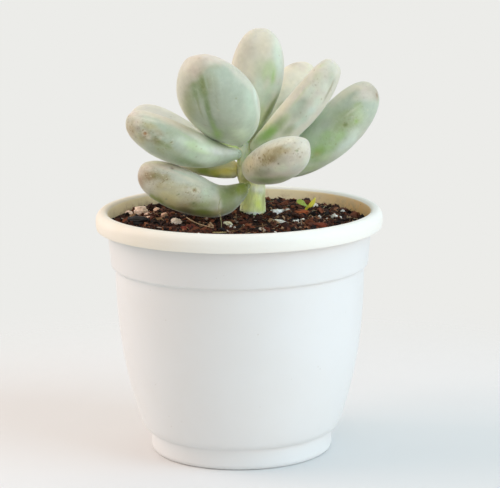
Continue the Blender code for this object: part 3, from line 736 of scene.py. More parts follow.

# Base colour of each leaf, then soft strokes of colour on the side seen first:
# (x, y, half length, half width, tilt in degrees, colour, strength), x and y in the 500 x 488 frame.
# the strokes hold the leaf's own colour and also painted light and shade: pale strokes along ridges and margins are
# painted highlights, and thin dark strokes where leaves meet or turn under are painted shade
LOOKS = {
    "leaf_top": ("pearl", (
        (240, 60, 4, 20, 0, "grey", 0.35), (264, 44, 9, 14, 0, "linen", 0.7), (262, 70, 8, 12, 0, "celery", 0.35),
        (278, 60, 5, 22, -3, "frost", 0.85), (271, 66, 4, 7, 0, "celery", 0.6), (273, 76, 3.8, 10, 5, "celery", 0.95),
        (273, 77, 1.5, 8, 7, "lime", 0.4), (268, 70, 4, 9, 3, "celery", 0.5), (268, 92, 5, 8, 15, "mint", 0.5), (264, 75, 2.6, 9, 5, "celery", 0.45), (248, 84, 4, 8, 0, "grey", 0.5), (243, 70, 6, 10, 0, "pearl", 0.6), (250, 70, 4, 8, 0, "linen", 0.5),
        (259, 86, 5, 9, 0, "frost", 0.7), (276, 88, 6, 6, 20, "frost", 0.7), (258, 101, 7, 12, 12, "frost", 0.8),
        # the long thin moss stroke is painted shadow where the upper right leaf overlaps this one
        (268, 100, 5, 8, 20, "mist", 0.6), (262, 113, 6, 8, 25, "celery", 0.6), (271.5, 108, 26, 2.8, -60, "moss", 0.95),
        (250, 50, 5, 9, 0, "clay", 0.25), (243, 42, 4, 6, -30, "grey", 0.5), (260, 124, 4, 6, 20, "pistachio", 0.5))),
    "leaf_front_left": ("grey", (
        (205, 58, 22, 7, 8, "rose", 0.95), (190, 67, 9, 10, 0, "pearl", 0.85), (181, 86, 5, 16, 6, "grey", 0.9), (184, 100, 3, 9, -6, "grey", 0.5), (187, 92, 6, 12, 0, "pearl", 0.6), (195, 71, 6, 6, 0, "rose", 0.6),
        (208, 64, 8, 4, 10, "pearl", 0.6), (240, 77, 17, 3.4, 42, "pearl", 0.55),
        (188, 97, 5, 9, 0, "olive", 0.55), (196, 84, 8, 3, -20, "moss", 0.55), (212, 67, 9, 3, -8, "olive", 0.35),
        (190, 110, 7, 14, -15, "olive", 0.75), (198, 122, 8, 9, -28, "sage", 0.7), (203.5, 88, 5.0, 12, -10, "fern", 1.0), (203, 86, 2.6, 9, -8, "moss", 0.6), (195.5, 92, 6, 10, -6, "fern", 0.75),
        (208, 109, 3.0, 14, -12, "fern", 1.0), (213, 123, 3.2, 8, -18, "fern", 0.75), (218, 135, 5.5, 6, -30, "lime", 0.95),
        (214, 127, 2.2, 8, -20, "lime", 0.5), (199, 106, 0.9, 15, -17, "moss", 0.5), (201.5, 103, 0.8, 14, -16, "mist", 0.5),
        (204.5, 108, 0.7, 12, -13, "mist", 0.45), (206, 83, 1.2, 9, -12, "mist", 0.5), (212, 80, 6, 10, 0, "olive", 0.35),
        (238, 97, 8, 16, 0, "sage", 0.6), (251, 108, 6, 22, -5, "mist", 0.85), (232, 117, 9, 13, 0, "mist", 0.55),
        (246, 124, 7, 12, 0, "mist", 0.8), (230, 130, 8, 7, 0, "mint", 0.6), (241, 136, 10, 8, 0, "foam", 0.85), (222, 112, 10, 16, 0, "mist", 0.4),
        (230, 143, 9, 4, 15, "foam", 0.8), (206, 134, 14, 3.6, 42, "foam", 0.7), (256, 100, 1.4, 24, -9, "dew", 0.7),
        # the thin snow strokes along the lower left margin are a painted highlight
        (200.5, 132.5, 9, 1.5, 41, "snow", 0.9), (216, 142.0, 9, 1.6, 24, "snow", 0.95), (229, 145.2, 8, 1.6, 0, "snow", 0.9), (214, 90, 0.8, 18, -8, "mist", 0.30), (222, 100, 0.9, 22, -6, "mist", 0.25),
        (217, 104, 0.8, 20, -8, "olive", 0.25), (229, 96, 0.8, 20, -4, "sage", 0.35))),
    "leaf_left": ("sage", (
        # the linen, ivory, foam and snow band from the upper ridge to the end by the stem is partly pale powder, partly
        # painted highlight; the snow at that end is painted light where the front left leaf shades it
        (134, 112, 9, 6, -20, "rose", 0.95), (150, 113, 12, 3, 8, "ivory", 0.4), (152, 114, 14, 4, 8, "linen", 0.75), (169, 121, 14, 4, 22, "linen", 0.8),
        (184, 129, 12, 4, 28, "ivory", 0.6), (199, 138, 10, 4.4, 32, "snow", 0.75), (127, 124, 4, 7, 0, "dove", 0.4),
        (131, 131, 8, 10, 10, "clay", 0.9), (138, 121, 6, 5, 0, "rose", 0.7), (150, 126, 9, 4, 15, "khaki", 0.6),
        (141, 140, 7, 5, 40, "khaki", 0.55), (146, 134, 5, 5, 0, "umber", 0.75), (159, 133, 8, 4, 20, "clay", 0.6),
        (172, 134, 10, 5, 25, "olive", 0.5), (148, 138, 12, 5, 36, "umber", 0.4), (157, 141, 7, 3.6, 38, "drab", 1.0), (166, 146, 9, 4, 30, "moss", 0.75),
        (160, 150, 9, 4, 32, "olive", 0.75), (171, 143, 3, 2, 0, "moss", 0.5), (177, 154, 10, 4, 22, "olive", 0.45),
        (186, 162.5, 17, 4.6, 16, "fern", 0.75), (197, 166, 8, 3, 3, "moss", 0.45), (182, 141, 9, 5, 25, "frost", 0.6),
        (193, 146, 9, 6, 25, "pistachio", 0.75), (206, 149, 8, 5, 20, "foam", 0.7), (192, 156, 8, 4, 15, "mint", 0.6),
        (206, 152, 7, 2.4, 14, "pistachio", 0.7), (212, 149, 12, 6, 14, "foam", 0.75), (219, 151, 10, 7, 8, "snow", 0.75), (232, 152, 9, 6, 0, "snow", 0.95),
        (212, 159, 13, 4, -3, "foam", 0.75), (150, 120, 14, 1.6, 14, "ivory", 0.45), (186, 136, 12, 1.2, 28, "celery", 0.4))),
    "leaf_left_rear": ("pearl", (
        (150, 104, 14, 4, 4, "dove", 0.2), (172, 110, 26, 3.4, 18, "ivory", 0.6), (196, 122, 10, 4, 30, "mist", 0.7),
        # the bottle, citron, gold and straw strokes on the underside are the flesh's colour with painted light shining
        # through it, and the thin moss stroke under them is painted shade
        (203, 171, 15, 5, 8, "bottle", 0.95), (215, 173, 7, 5, 5, "citron", 0.9), (226, 171, 9, 5, 0, "gold", 0.85),
        (237, 168, 7, 6, 0, "gold", 0.7), (238, 170, 4, 6, 0, "straw", 0.5), (216, 176.5, 14, 1.4, 0, "moss", 0.5))),
    "leaf_low_left": ("grey", (
        (139, 181, 6, 11, 0, "mauve", 0.95), (141, 171, 6, 5, 0, "dove", 0.75), (148, 167, 6, 3.4, 0, "rose", 0.7),
        (161, 165, 9, 3, 8, "ivory", 0.8), (173, 169, 9, 3, 14, "linen", 0.8), (168, 168, 15, 3.4, 14, "rose", 0.95), (190, 178, 14, 4, 26, "linen", 0.75),
        (149, 176, 6, 5, 0, "umber", 0.75), (156, 176, 6, 3.6, 10, "drab", 0.7), (165, 177.5, 5, 3.6, 20, "bronze", 0.7),
        (172, 168.4, 1.8, 1.2, 20, "mauve", 0.9), (151, 187, 7, 5, 0, "pearl", 0.6), (161, 186, 7, 4, 0, "khaki", 0.6),
        (173, 186, 9, 5, 15, "khaki", 0.45), (186, 189, 8, 5, 15, "khaki", 0.45), (161, 195, 9, 5, 28, "straw", 0.4),
        (172, 198, 11, 6, 18, "straw", 0.6), (190, 200, 10, 5, 8, "khaki", 0.5), (178, 192, 9, 4, 14, "khaki", 0.3), (206, 195, 6, 8, 0, "mint", 0.5), (214, 189, 4.6, 8, 0, "sage", 0.7), (221, 191, 4, 9, 0, "olive", 0.8),
        (173, 204, 10, 3.4, 24, "straw", 0.7), (186, 206, 9, 4, 12, "khaki", 0.8), (197, 206, 7, 4, 5, "bottle", 0.65),
        # the bottle and drab strokes along the lower edge are painted shade on the underside
        (206, 205, 6, 5, 0, "bottle", 0.6), (214, 204, 5, 6, -10, "moss", 0.45), (202, 212, 18, 3.6, 3, "bottle", 0.95),
        (187, 211, 10, 2.8, 14, "drab", 0.8), (225, 197, 5, 9, 0, "moss", 0.65), (232, 192, 5, 8, 0, "moss", 0.85),
        (240, 188, 6, 5, 0, "bottle", 0.75), (245, 184, 4, 3.4, -10, "bottle", 0.5), (230, 205, 6, 5, -30, "olive", 0.75),
        (238, 201, 4, 5, -30, "sage", 0.55), (219, 212, 8, 3, -12, "khaki", 0.7), (184, 181, 20, 1.2, 26, "grey", 0.4),
        (194.8, 190, 5.0, 4.0, 0, "khaki", 0.6), (188, 190, 4, 3, 0, "clay", 0.4), (180, 172.5, 16, 1.2, 22, "mist", 0.5),
        # the thin mist and frost strokes along the heel are a painted highlight on its margin
        (248.6, 189.0, 1.0, 6, 4, "mist", 0.7), (243.8, 199.4, 1.0, 7, 38, "mist", 0.7),
        (236, 208, 7, 1.0, -44, "mist", 0.7), (225, 214.6, 7, 1.0, -22, "frost", 0.7), (193, 204, 5, 3, 0, "drab", 0.45))),
    "leaf_front_right": ("pearl", (
        (271, 144.5, 13, 5, -24, "ivory", 0.95), (287, 139.5, 10, 4.4, -14, "ivory", 0.95), (298, 141, 6, 4, 20, "grey", 0.3),
        (260, 151, 7, 5, -28, "linen", 0.5), (249, 161, 6, 7, -40, "straw", 0.35), (246, 171, 4, 7, 0, "straw", 0.35),
        (268, 152, 8, 4, -24, "khaki", 0.45), (279, 149, 6, 3.2, -20, "bronze", 0.55), (266, 160, 7, 4.5, -24, "khaki", 0.7), (255, 163, 7, 6, -30, "linen", 0.85), (249, 165, 7, 9, -20, "butter", 0.95),
        (272, 157.5, 12, 4.6, -24, "bronze", 0.75), (286, 150.5, 7, 3.4, -16, "khaki", 0.5), (272, 160, 5, 3, -24, "umber", 0.25), (257, 170, 7, 5, -10, "olive", 0.5),
        (281, 160, 6, 5, -20, "olive", 0.25), (299, 158, 6, 8, 0, "pearl", 0.5), (306, 163, 4, 6, 20, "frost", 0.7),
        (267, 170, 7, 5, -10, "sage", 0.6), (281, 169, 9, 5, -10, "foam", 0.5), (296, 168, 7, 5, -18, "dew", 0.6),
        (256, 179, 7, 3.4, 8, "celery", 0.7), (268, 181.5, 11, 4.0, 2, "leek", 0.9), (281, 180, 9, 4.0, -8, "leek", 0.8), (262, 173, 8, 3, -6, "olive", 0.5),
        (292, 177, 7, 3, -20, "mint", 0.6), (287, 146, 4, 3, 0, "dew", 0.35), (284, 143, 12, 1.2, -16, "ivory", 0.4),
        # the two thin moss strokes at the end are painted shade along the underside
        (274, 161, 3, 2, 0, "drab", 0.3), (290, 164, 6, 1.4, -20, "ivory", 0.3), (270, 188.4, 17, 1.7, 1, "moss", 0.85), (291, 184.4, 9, 1.6, -24, "moss", 0.6))),
    "leaf_right": ("sage", (
        (367, 91, 9, 9, 0, "rose", 0.9), (371, 93, 6, 9, -10, "dove", 0.5), (355, 88, 7, 4, -15, "linen", 0.65), (343, 94, 9, 4.4, -34, "linen", 0.7),
        (334, 102, 8, 4, -38, "pearl", 0.7), (376, 94, 3, 7, -10, "dove", 0.85), (377, 96, 1.2, 5, -6, "mauve", 0.6),
        (366, 96, 5, 5, 0, "pearl", 0.6), (357, 98, 6, 4, -10, "linen", 0.5), (366, 107, 5, 7, 0, "sage", 0.5),
        (357, 108, 5, 5, 0, "celery", 0.45), (358.5, 104.5, 4, 3.4, 0, "jade", 0.7), (347, 115, 8, 5, -30, "olive", 0.5),
        (336, 116, 8, 5, -40, "jade", 0.45), (326, 124, 8, 5, -45, "sage", 0.8), (317, 130, 6, 6, -45, "mist", 0.6),
        (340, 126, 10, 7, -35, "jade", 0.9), (351, 124, 7, 5, -20, "jade", 0.85), (347, 114, 9, 6, -30, "jade", 0.6), (345, 125, 2.8, 1.8, 0, "moss", 0.8),
        (356, 121, 4, 3, 0, "jade", 0.8), (359, 116, 6, 8, 10, "celery", 0.55), (312, 140, 7, 7, -45, "mint", 0.7),
        (326, 136, 9, 6, -40, "fresh", 0.8), (339, 137, 10, 5.4, -35, "fresh", 0.85), (354, 134, 7, 6, -40, "frost", 0.7),
        (319, 150, 12, 7, -28, "fresh", 0.95), (318, 151, 6, 4, -25, "leek", 0.8), (317, 154, 4, 2.6, -20, "khaki", 0.4), (331, 148, 10, 5, -30, "fresh", 0.7), (344, 146, 8, 5, -40, "dew", 0.75),
        (351, 142, 7, 5, -45, "dew", 0.85), (307, 161, 6, 5, 0, "frost", 0.6), (316, 160, 9, 4, -18, "lime", 0.45),
        (321.6, 150.4, 4, 3, -20, "lime", 0.35), (326, 158, 7, 4, -22, "pistachio", 0.6), (338, 154, 8, 3.6, -32, "frost", 0.6),
        (301, 168, 8, 4, -10, "pistachio", 0.6), (312, 168, 9, 3.4, -14, "pistachio", 0.8), (352, 111, 10, 1.2, -36, "ivory", 0.3),
        # the thin fern stroke at the end is painted shade along the underside
        (355, 145, 26, 1.6, -53, "rose", 0.5), (312, 172.5, 14, 1.5, -16, "fern", 0.7))),
    "leaf_upper_right": ("pearl", (
        (322, 62, 8, 4, 0, "grey", 0.7), (331, 70, 4, 6, 20, "grey", 0.6), (332, 80, 4, 7, 10, "sage", 0.6),
        (304, 79, 8, 4, -48, "grey", 0.6), (296, 90, 8, 3.4, -52, "grey", 0.6), (284, 107, 9, 3.4, -52, "linen", 0.8),
        (274, 118, 8, 3.4, -48, "linen", 0.9), (267, 127, 6, 3, -40, "straw", 0.5), (318, 76, 6, 5, -30, "celery", 0.25),
        (324, 86, 5, 7, -20, "frost", 0.5), (309, 92, 8, 5, -50, "frost", 0.7), (301, 103, 8, 4.4, -50, "sage", 0.95),
        (294, 109, 7, 4.4, -50, "mist", 0.7), (286, 118, 7, 4, -48, "celery", 0.5), (279, 125, 9, 5, -46, "jade", 0.85),
        (270, 132, 8, 5, -40, "leek", 1.0), (271, 133, 7, 3.4, -42, "lime", 0.4), (263, 138, 9, 5, -35, "leek", 0.85),
        (318, 101, 6, 5, -45, "frost", 0.7), (311, 111, 7, 4, -48, "dew", 0.85), (304, 119, 6, 4, -45, "mist", 0.8), (300, 112, 12, 5.0, -49, "sage", 0.7),
        (297, 125, 6, 3.4, -42, "dew", 0.7), (289, 130, 8, 4, -38, "olive", 0.7), (329, 91, 0.9, 11, 27, "drab", 0.55),
        (332.5, 83, 0.7, 5, 18, "clay", 0.6), (321, 66, 5, 1.6, -30, "celery", 0.35), (300, 96, 14, 1.0, -51, "celery", 0.35))),
    "leaf_rear_right": ("linen", (
        (292, 63, 8, 3, 0, "dove", 0.7), (302, 67, 5, 4, 30, "rose", 0.7), (290, 75, 7, 5, 0, "pearl", 0.5),
        (283, 101, 5, 5, 25, "pearl", 0.7), (284, 92, 5, 5, 20, "grey", 0.3), (282, 104, 5, 2, -30, "khaki", 0.4))),
    "leaf_rear": ("grey", ()),
    "leaf_rear_low": ("grey", ()),
    "young_leaf_1": ("mint", ()),
    "young_leaf_2": ("mint", ()),
}

# Areas with a clearer edge, painted before the strokes: leaf -> (corners in the frame, colour, strength, softness)
PATCHES = {
    "leaf_front_left": (
        (((187.0, 104), (187.5, 92), (190.5, 85.4), (197.4, 81.2), (203, 71.8), (214.6, 63.8), (228, 67.5), (241, 79),
          (251, 95), (256, 115), (254, 132), (244, 146), (226, 148), (208, 138), (192, 120)), "sage", 0.95, 1.7),),
    "leaf_front_right": (
        (((258, 158), (266, 150), (277, 144.5), (285, 145), (283, 152), (276, 158), (268, 166), (259, 168)), "khaki", 0.5, 2.2),),
    # on the low left leaf the fern and bottle patches at the heel are painted shade over its greener base, and the
    # bottle band along the lower edge is painted shade on the underside
    "leaf_low_left": (
        (((145, 173), (154, 170.5), (168, 174), (172, 180), (160, 181.5), (147, 182)), "umber", 0.5, 4.5),
        (((221, 184), (227, 186.5), (236, 185.5), (246, 177), (253, 177), (252, 192), (247, 201), (238, 209), (228, 214),
          (226, 217), (219, 217), (222, 206)), "fern", 0.8, 2.6),
        (((236, 186), (250, 176), (252, 184), (246, 193), (238, 196)), "bottle", 0.6, 2.0),
        (((150, 193), (170, 204), (190, 211), (218, 214), (212, 222), (180, 218), (146, 200)), "bottle", 0.9, 2.6),),
}

# small healed wounds: leaf, (x, y) in the frame, radius in millimetres, depth of the pit, rim height, colour
SCARS = (
    ("leaf_left", (145.0, 133.8), 0.62, 0.20, 0.16, "rust"), ("leaf_left", (143.2, 130.6), 0.32, 0.10, 0.10, "umber"),
    ("leaf_left", (148.6, 137.0), 0.60, 0.04, 0.20, "linen"), ("leaf_left", (128.6, 116.4), 0.42, 0.12, 0.06, "umber"),
    ("leaf_left", (134.0, 122.0), 0.5, 0.10, 0.05, "linen"), ("leaf_left", (171.0, 142.8), 0.38, 0.10, 0.05, "drab"),
    ("leaf_left", (138.0, 128.0), 0.8, 0.05, 0.03, "dove"), ("leaf_left", (160.6, 139.0), 0.4, 0.06, 0.03, "linen"),
    ("leaf_low_left", (194.8, 190.2), 0.95, 0.22, 0.16, "bronze"), ("leaf_low_left", (194.6, 190.4), 0.4, 0.10, 0.0, "bark"),
    ("leaf_low_left", (199.4, 190.4), 0.5, 0.10, 0.12, "linen"), ("leaf_low_left", (188.6, 189.0), 0.6, 0.06, 0.08, "pearl"),
    ("leaf_low_left", (193.9, 203.0), 0.5, 0.08, 0.04, "moss"), ("leaf_low_left", (172.5, 168.4), 0.55, 0.14, 0.05, "mauve"),
    ("leaf_low_left", (178.2, 194.5), 0.35, 0.08, 0.04, "moss"), ("leaf_low_left", (166.0, 199.0), 0.35, 0.08, 0.04, "olive"),
    ("leaf_low_left", (163.0, 172.6), 0.4, 0.08, 0.05, "dove"), ("leaf_low_left", (183.0, 182.0), 0.4, 0.06, 0.05, "linen"),
    ("leaf_front_right", (278.2, 163.6), 0.42, 0.16, 0.05, "drab"), ("leaf_front_right", (297.2, 150.6), 0.5, 0.10, 0.06, "olive"),
    ("leaf_front_right", (299.8, 156.8), 0.45, 0.10, 0.08, "clay"), ("leaf_front_right", (248.4, 170.8), 0.7, 0.10, 0.08, "khaki"),
    ("leaf_front_right", (250.6, 167.0), 0.4, 0.08, 0.04, "umber"), ("leaf_front_right", (302.0, 152.4), 0.35, 0.06, 0.04, "clay"),
    ("leaf_right", (345.4, 125.0), 0.9, 0.10, 0.04, "moss"), ("leaf_right", (376.8, 95.6), 0.8, 0.10, 0.04, "mauve"),
    ("leaf_right", (356.4, 121.6), 0.7, 0.06, 0.03, "leek"), ("leaf_right", (313.0, 157.0), 0.5, 0.06, 0.02, "leek"),
    ("leaf_upper_right", (321.0, 99.5), 0.35, 0.06, 0.04, "clay"), ("leaf_upper_right", (314.0, 70.5), 0.35, 0.06, 0.03, "clay"),
    ("leaf_front_left", (236.0, 98.0), 0.4, 0.04, 0.02, "olive"),
)

# where the skin is speckled: leaf, x, y, half length, half width, tilt, how densely
SPECKLED = (
    ("leaf_left", 136, 128, 14, 16, 0, 1.0), ("leaf_left", 160, 140, 14, 9, 30, 0.8), ("leaf_low_left", 158, 178, 18, 12, 15, 1.0),
    ("leaf_low_left", 192, 194, 18, 12, 10, 0.9), ("leaf_front_right", 260, 158, 18, 14, -24, 1.0),
    ("leaf_front_right", 290, 150, 14, 12, -20, 0.8), ("leaf_right", 352, 118, 12, 24, 20, 0.4),
    ("leaf_right", 330, 140, 14, 20, 40, 0.2), ("leaf_upper_right", 318, 84, 10, 18, 30, 0.35),
    ("leaf_front_left", 198, 84, 14, 20, 0, 0.25),
)


def curve_at(points, share):
    """Positions and unit directions at shares of a Bezier curve's length."""
    points = np.array(points, float)

    def casteljau(p, t):
        p = [np.repeat(q[None], len(t), 0) for q in p]
        while len(p) > 1:
            p = [a + (b - a) * t[:, None] for a, b in zip(p, p[1:])]
        return p[0]

    fine = np.linspace(0, 1, 801)
    places = casteljau(points, fine)
    length = np.concatenate([[0], np.cumsum(np.linalg.norm(np.diff(places, axis=0), axis=1))])
    t = np.interp(np.asarray(share) * length[-1], length, fine)
    slope = casteljau(np.diff(points, axis=0), t)
    return casteljau(points, t), slope / np.linalg.norm(slope, axis=1, keepdims=True), length[-1]


def leaf_shape(leaf, rings, sides):
    """Rings of a leaf, with the share along it and the angle round it. The first rings run on into the stem."""
    belly, blunt = leaf["belly"], leaf["blunt"]
    peak = belly / (belly + blunt)
    norm = peak ** belly * (1 - peak) ** blunt
    s = (1 - np.cos(np.pi * np.arange(rings) / rings)) / 2
    centre, ahead, length = curve_at(leaf["spine"], s)
    face = np.array(leaf["face"])
    up = face - ahead * (ahead @ face)[:, None]
    up /= np.linalg.norm(up, axis=1, keepdims=True)
    side = np.cross(ahead, up)
    swell = s ** belly * (1 - s) ** blunt / norm
    stalk = leaf["petiole"] / 2 * (1 - s) ** 3
    half_w = np.hypot(leaf["width"] / 2 * swell, stalk)
    half_t = np.hypot(leaf["thick"] / 2 * swell, stalk * 0.9)
    if "heel" in leaf:
        closing = 0.25 + 0.75 * np.sqrt(1 - (1 - np.clip(s / leaf["heel"], 0, 1)) ** 2)
        half_w, half_t = half_w * closing, half_t * closing
    a = 2 * np.pi * np.arange(sides) / sides
    c, d = np.cos(a), np.sin(a)
    u = np.sign(c) * np.abs(c) ** (2 / LEAF_SQUARENESS)
    v = np.sign(d) * np.abs(d) ** (2 / LEAF_SQUARENESS)
    v = v * np.where(v > 0, LEAF_TOP_SHARE, 2 - LEAF_TOP_SHARE)
    ring = (centre[:, None] + side[:, None] * (half_w[:, None] * u)[..., None]
            + up[:, None] * (half_t[:, None] * v)[..., None])
    # into the stem
    sink = min(1.6, 0.9 * leaf["petiole"])
    roots = []
    for share, width in ((1.0, 0.62), (0.6, 0.82), (0.25, 0.95)):
        roots.append(centre[0] - ahead[0] * sink * share + (ring[0] - centre[0]) * width)
    ring = np.concatenate([np.array(roots), ring])
    s = np.concatenate([[0, 0, 0], s])
    return ring, s, a, centre[-1], length


def leaf_tip(leaf):
    return curve_at(leaf["spine"], np.array([1.0]))


RUBBED = ("leek", "lime", "moss", "olive", "drab", "bottle", "bronze", "celery", "umber")


def inside_of(x, y, corners):
    """Distance to the edge of a closed outline, more than 0 inside it."""
    corners = np.array(corners, float)
    nearest = np.full(len(x), 1e9)
    within = np.zeros(len(x), bool)
    for (ax, ay), (bx, by) in zip(corners, np.roll(corners, -1, 0)):
        ex, ey = bx - ax, by - ay
        t = np.clip(((x - ax) * ex + (y - ay) * ey) / (ex * ex + ey * ey), 0, 1)
        nearest = np.minimum(nearest, np.hypot(x - ax - t * ex, y - ay - t * ey))
        crossing = (ay > y) != (by > y)
        within ^= crossing & (x < ax + (y - ay) * ex / np.where(ey == 0, 1e-9, ey))
    return np.where(within, nearest, -nearest)


def make_leaf(name, leaf, rings, sides, seed):
    shape, s, a, _, length = leaf_shape(leaf, rings, sides)
    normal = outward(shape)
    n, m = shape.shape[:2]
    P = shape.reshape(-1, 3)
    N = normal.reshape(-1, 3)
    S = np.repeat(s, m)
    A = np.tile(a, n)
    size = leaf["width"] / 20.0
    big = float(leaf["width"] > 8)
    # soft unevenness of the flesh, faint flats along the leaf, and wrinkles where it narrows
    middle = step(0.0, 0.12, S) * (1 - step(0.93, 1.0, S))
    lift = (0.20 * fbm(P, 8.5 * size, 2, seed) + 0.05 * fbm(P, 2.6, 2, seed + 9)) * middle * big
    lift += 0.10 * np.cos(5 * A + 1.7 * seed + 1.5 * S) * middle * size * step(0.05, 0.3, S) * big
    lift -= 0.10 * (0.5 + 0.5 * np.cos(11 * A + seed)) * step(0.30, 0.04, S) * big
    places = P + N * lift[:, None]
    if name == "leaf_top":
        places[:, 2] = np.minimum(places[:, 2], 152.15)

    px, py = to_frame(places)
    to_eye = np.array(EYE) - places
    to_eye /= np.linalg.norm(to_eye, axis=1, keepdims=True)
    facing = (N * to_eye).sum(1)
    front = step(-0.34, -0.02, facing)

    # the side that isn't seen first: bloom, greener near the stem, paler or blushed towards the tip and margins
    base, colour_and_light_strokes = LOOKS[name]
    wander = fbm(places, 7.0, 3, seed + 20)
    fine = fbm(places, 2.0, 3, seed + 30)
    T = TONES
    # painted light: flesh that neighbouring leaves shade is painted brighter
    gain = painted_glow(places.reshape(n, m, 3), normal)
    back = T["sage"] + (T["mist"] - T["sage"]) * step(0.1, 0.7, wander)[:, None]
    back = back + (T["grey"] - back) * (0.7 * step(0.0, 0.6, -wander))[:, None]
    tip = step(0.60, 0.97, S + 0.10 * wander + 0.05 * np.cos(A))
    back = back + (T["pearl"] - back) * (0.85 * tip)[:, None]
    back = back + (T["dove"] - back) * (0.60 * step(0.84, 1.0, S + 0.06 * fine))[:, None]
    edge = step(0.86, 1.0, np.abs(np.cos(A))) * step(0.3, 0.6, S)
    back = back + (T["linen"] - back) * (0.45 * edge)[:, None]
    rubbed = step(0.34, 0.62, fbm(places, 4.2, 3, seed + 40)) * step(0.1, 0.3, S)
    back = back + (T["leek"] - back) * (0.60 * rubbed)[:, None]
    scuffed = step(0.45, 0.70, fbm(places, 3.0, 3, seed + 50)) * step(0.2, 0.5, S)
    back = back + (T["umber"] - back) * (0.35 * scuffed)[:, None]
    root = step(0.34, 0.02, S + 0.06 * wander)
    back = back + (T["leek"] - back) * (0.65 * root)[:, None]
    # painted light on the side not seen first
    back = painted_lift(back, gain)

    # the side seen first
    tone = np.repeat(T[base][None], len(places), 0)
    tone = tone + (T["sage"] - tone) * (0.15 * step(0.1, 0.8, wander))[:, None]
    tone = tone + (T["linen"] - tone) * (0.12 * step(0.1, 0.8, -wander))[:, None]
    # painted light on the side seen first, at 45 % of the gain
    tone = painted_lift(tone, 1 + 0.45 * (gain - 1))
    if not colour_and_light_strokes:
        tone = back.copy()
    rub = np.zeros(len(places))
    for corners, colour, strength, soft in PATCHES.get(name, ()):
        mask = strength * step(-soft, soft, inside_of(px, py, corners) + 1.6 * fine + 1.2 * wander)
        tone = tone + (T[colour] - tone) * mask[:, None]
    for x, y, half_l, half_w, tilt, colour, strength in colour_and_light_strokes:
        t = math.radians(tilt)
        dx, dy = px - x, py - y
        u = (dx * math.cos(t) + dy * math.sin(t)) / half_l
        v = (-dx * math.sin(t) + dy * math.cos(t)) / half_w
        q = np.hypot(u, v) + 0.16 * wander + 0.14 * fine
        mask = np.exp(-np.maximum(q, 0) ** 2.6) * strength
        if min(half_l, half_w) < 1.75:
            mask = mask * step(0.0, 0.10, facing)
        tone = tone + (T[colour] - tone) * mask[:, None]
        if colour in RUBBED:
            rub = np.maximum(rub, mask)
    tone = back + (tone - back) * front[:, None]
    rub = np.maximum(rub * front, 0.7 * rubbed)
    # powder lies unevenly
    tone = tone * (1 + 0.07 * fbm(places, 1.3, 3, seed + 60) + 0.045 * wander)[:, None]

    fleck = np.where(front < 0.5, 0.35 * step(0.2, 0.6, wander), 0.0)
    for who, x, y, half_l, half_w, tilt, dense in SPECKLED:
        if who == name:
            t = math.radians(tilt)
            dx, dy = px - x, py - y
            q = np.hypot((dx * math.cos(t) + dy * math.sin(t)) / half_l, (-dx * math.sin(t) + dy * math.cos(t)) / half_w)
            fleck = np.maximum(fleck, dense * front * np.exp(-q ** 2.4))

    # mottling within the speckled areas
    patchy = fleck * step(0.02, 0.34, fbm(places, 0.9, 3, seed + 70))
    tone = tone + (T["umber"] - tone) * (0.24 * patchy)[:, None]
    patchy = fleck * step(0.08, 0.40, -fbm(places, 0.9, 3, seed + 70))
    tone = tone + (T["linen"] - tone) * (0.20 * patchy)[:, None]

    # healed wounds
    for who, (x, y), radius, pit, rim, colour in SCARS:
        if who != name:
            continue
        ahead_of = np.where(facing > 0.05, np.hypot(px - x, py - y), 1e9)
        centre = places[np.argmin(ahead_of)]
        away = np.linalg.norm(places - centre, axis=1) / radius * (1 + 0.25 * fine)
        core = np.exp(-away ** 2 * 1.2)
        ring = np.exp(-((away - 1.35) / 0.45) ** 2)
        places = places + N * (rim * ring - pit * core)[:, None]
        tone = tone + (T[colour] * 0.9 - tone) * (0.85 * core)[:, None]
        # the pale ring on the raised rim is partly the scar's own corky edge, partly a painted highlight
        tone = tone + (T["ivory"] - tone) * (0.34 * min(1.0, rim / 0.16) * ring)[:, None]
        rub = np.maximum(rub, core)
    # a few freckles anywhere
    rng = np.random.RandomState(900 + seed)
    if big:
        pick = rng.choice(len(places), 16, replace=False)
        for p, r, dark in zip(places[pick], rng.uniform(0.14, 0.30, 16), rng.uniform(0, 1, 16)):
            away = np.linalg.norm(places - p, axis=1) / r * (1 + 0.4 * fine)
            core = np.exp(-away ** 2)
            tone = tone + (T["umber" if dark < 0.5 else "linen"] - tone) * (0.4 * core)[:, None]

    verts = np.concatenate([places, leaf_tip(leaf)[0] - 0.02 * leaf_tip(leaf)[1], shape[0].mean(0)[None]])
    faces = [grid_faces(n, m), fan_faces((n - 1) * m, m, n * m), fan_faces(0, m, n * m + 1, flip=True)]
    tone = np.concatenate([tone, tone[-m:].mean(0)[None], tone[:m].mean(0)[None]])
    fleck = np.append(fleck, [fleck[-1], 0.0])
    bloom = 1 - 0.8 * np.concatenate([rub, [rub[-m:].mean()], [rub[:m].mean()]])
    piece = make_mesh(name + "_skin", verts, faces, LEAF_SKIN, None, tone, {"bloom": bloom, "fleck": fleck})
    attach(piece, "root")
    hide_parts(name)
    return piece


# ================================================================ painted light in the crowded places
def fan_of_rays(count):
    """Directions over a half sphere about +Z, closer together near its middle, as light counts there."""
    k = np.arange(count) + 0.5
    r, t = np.sqrt(k / count), k * math.pi * (3 - 5 ** 0.5)
    return np.stack([r * np.cos(t), r * np.sin(t), np.sqrt(1 - r * r)], -1)


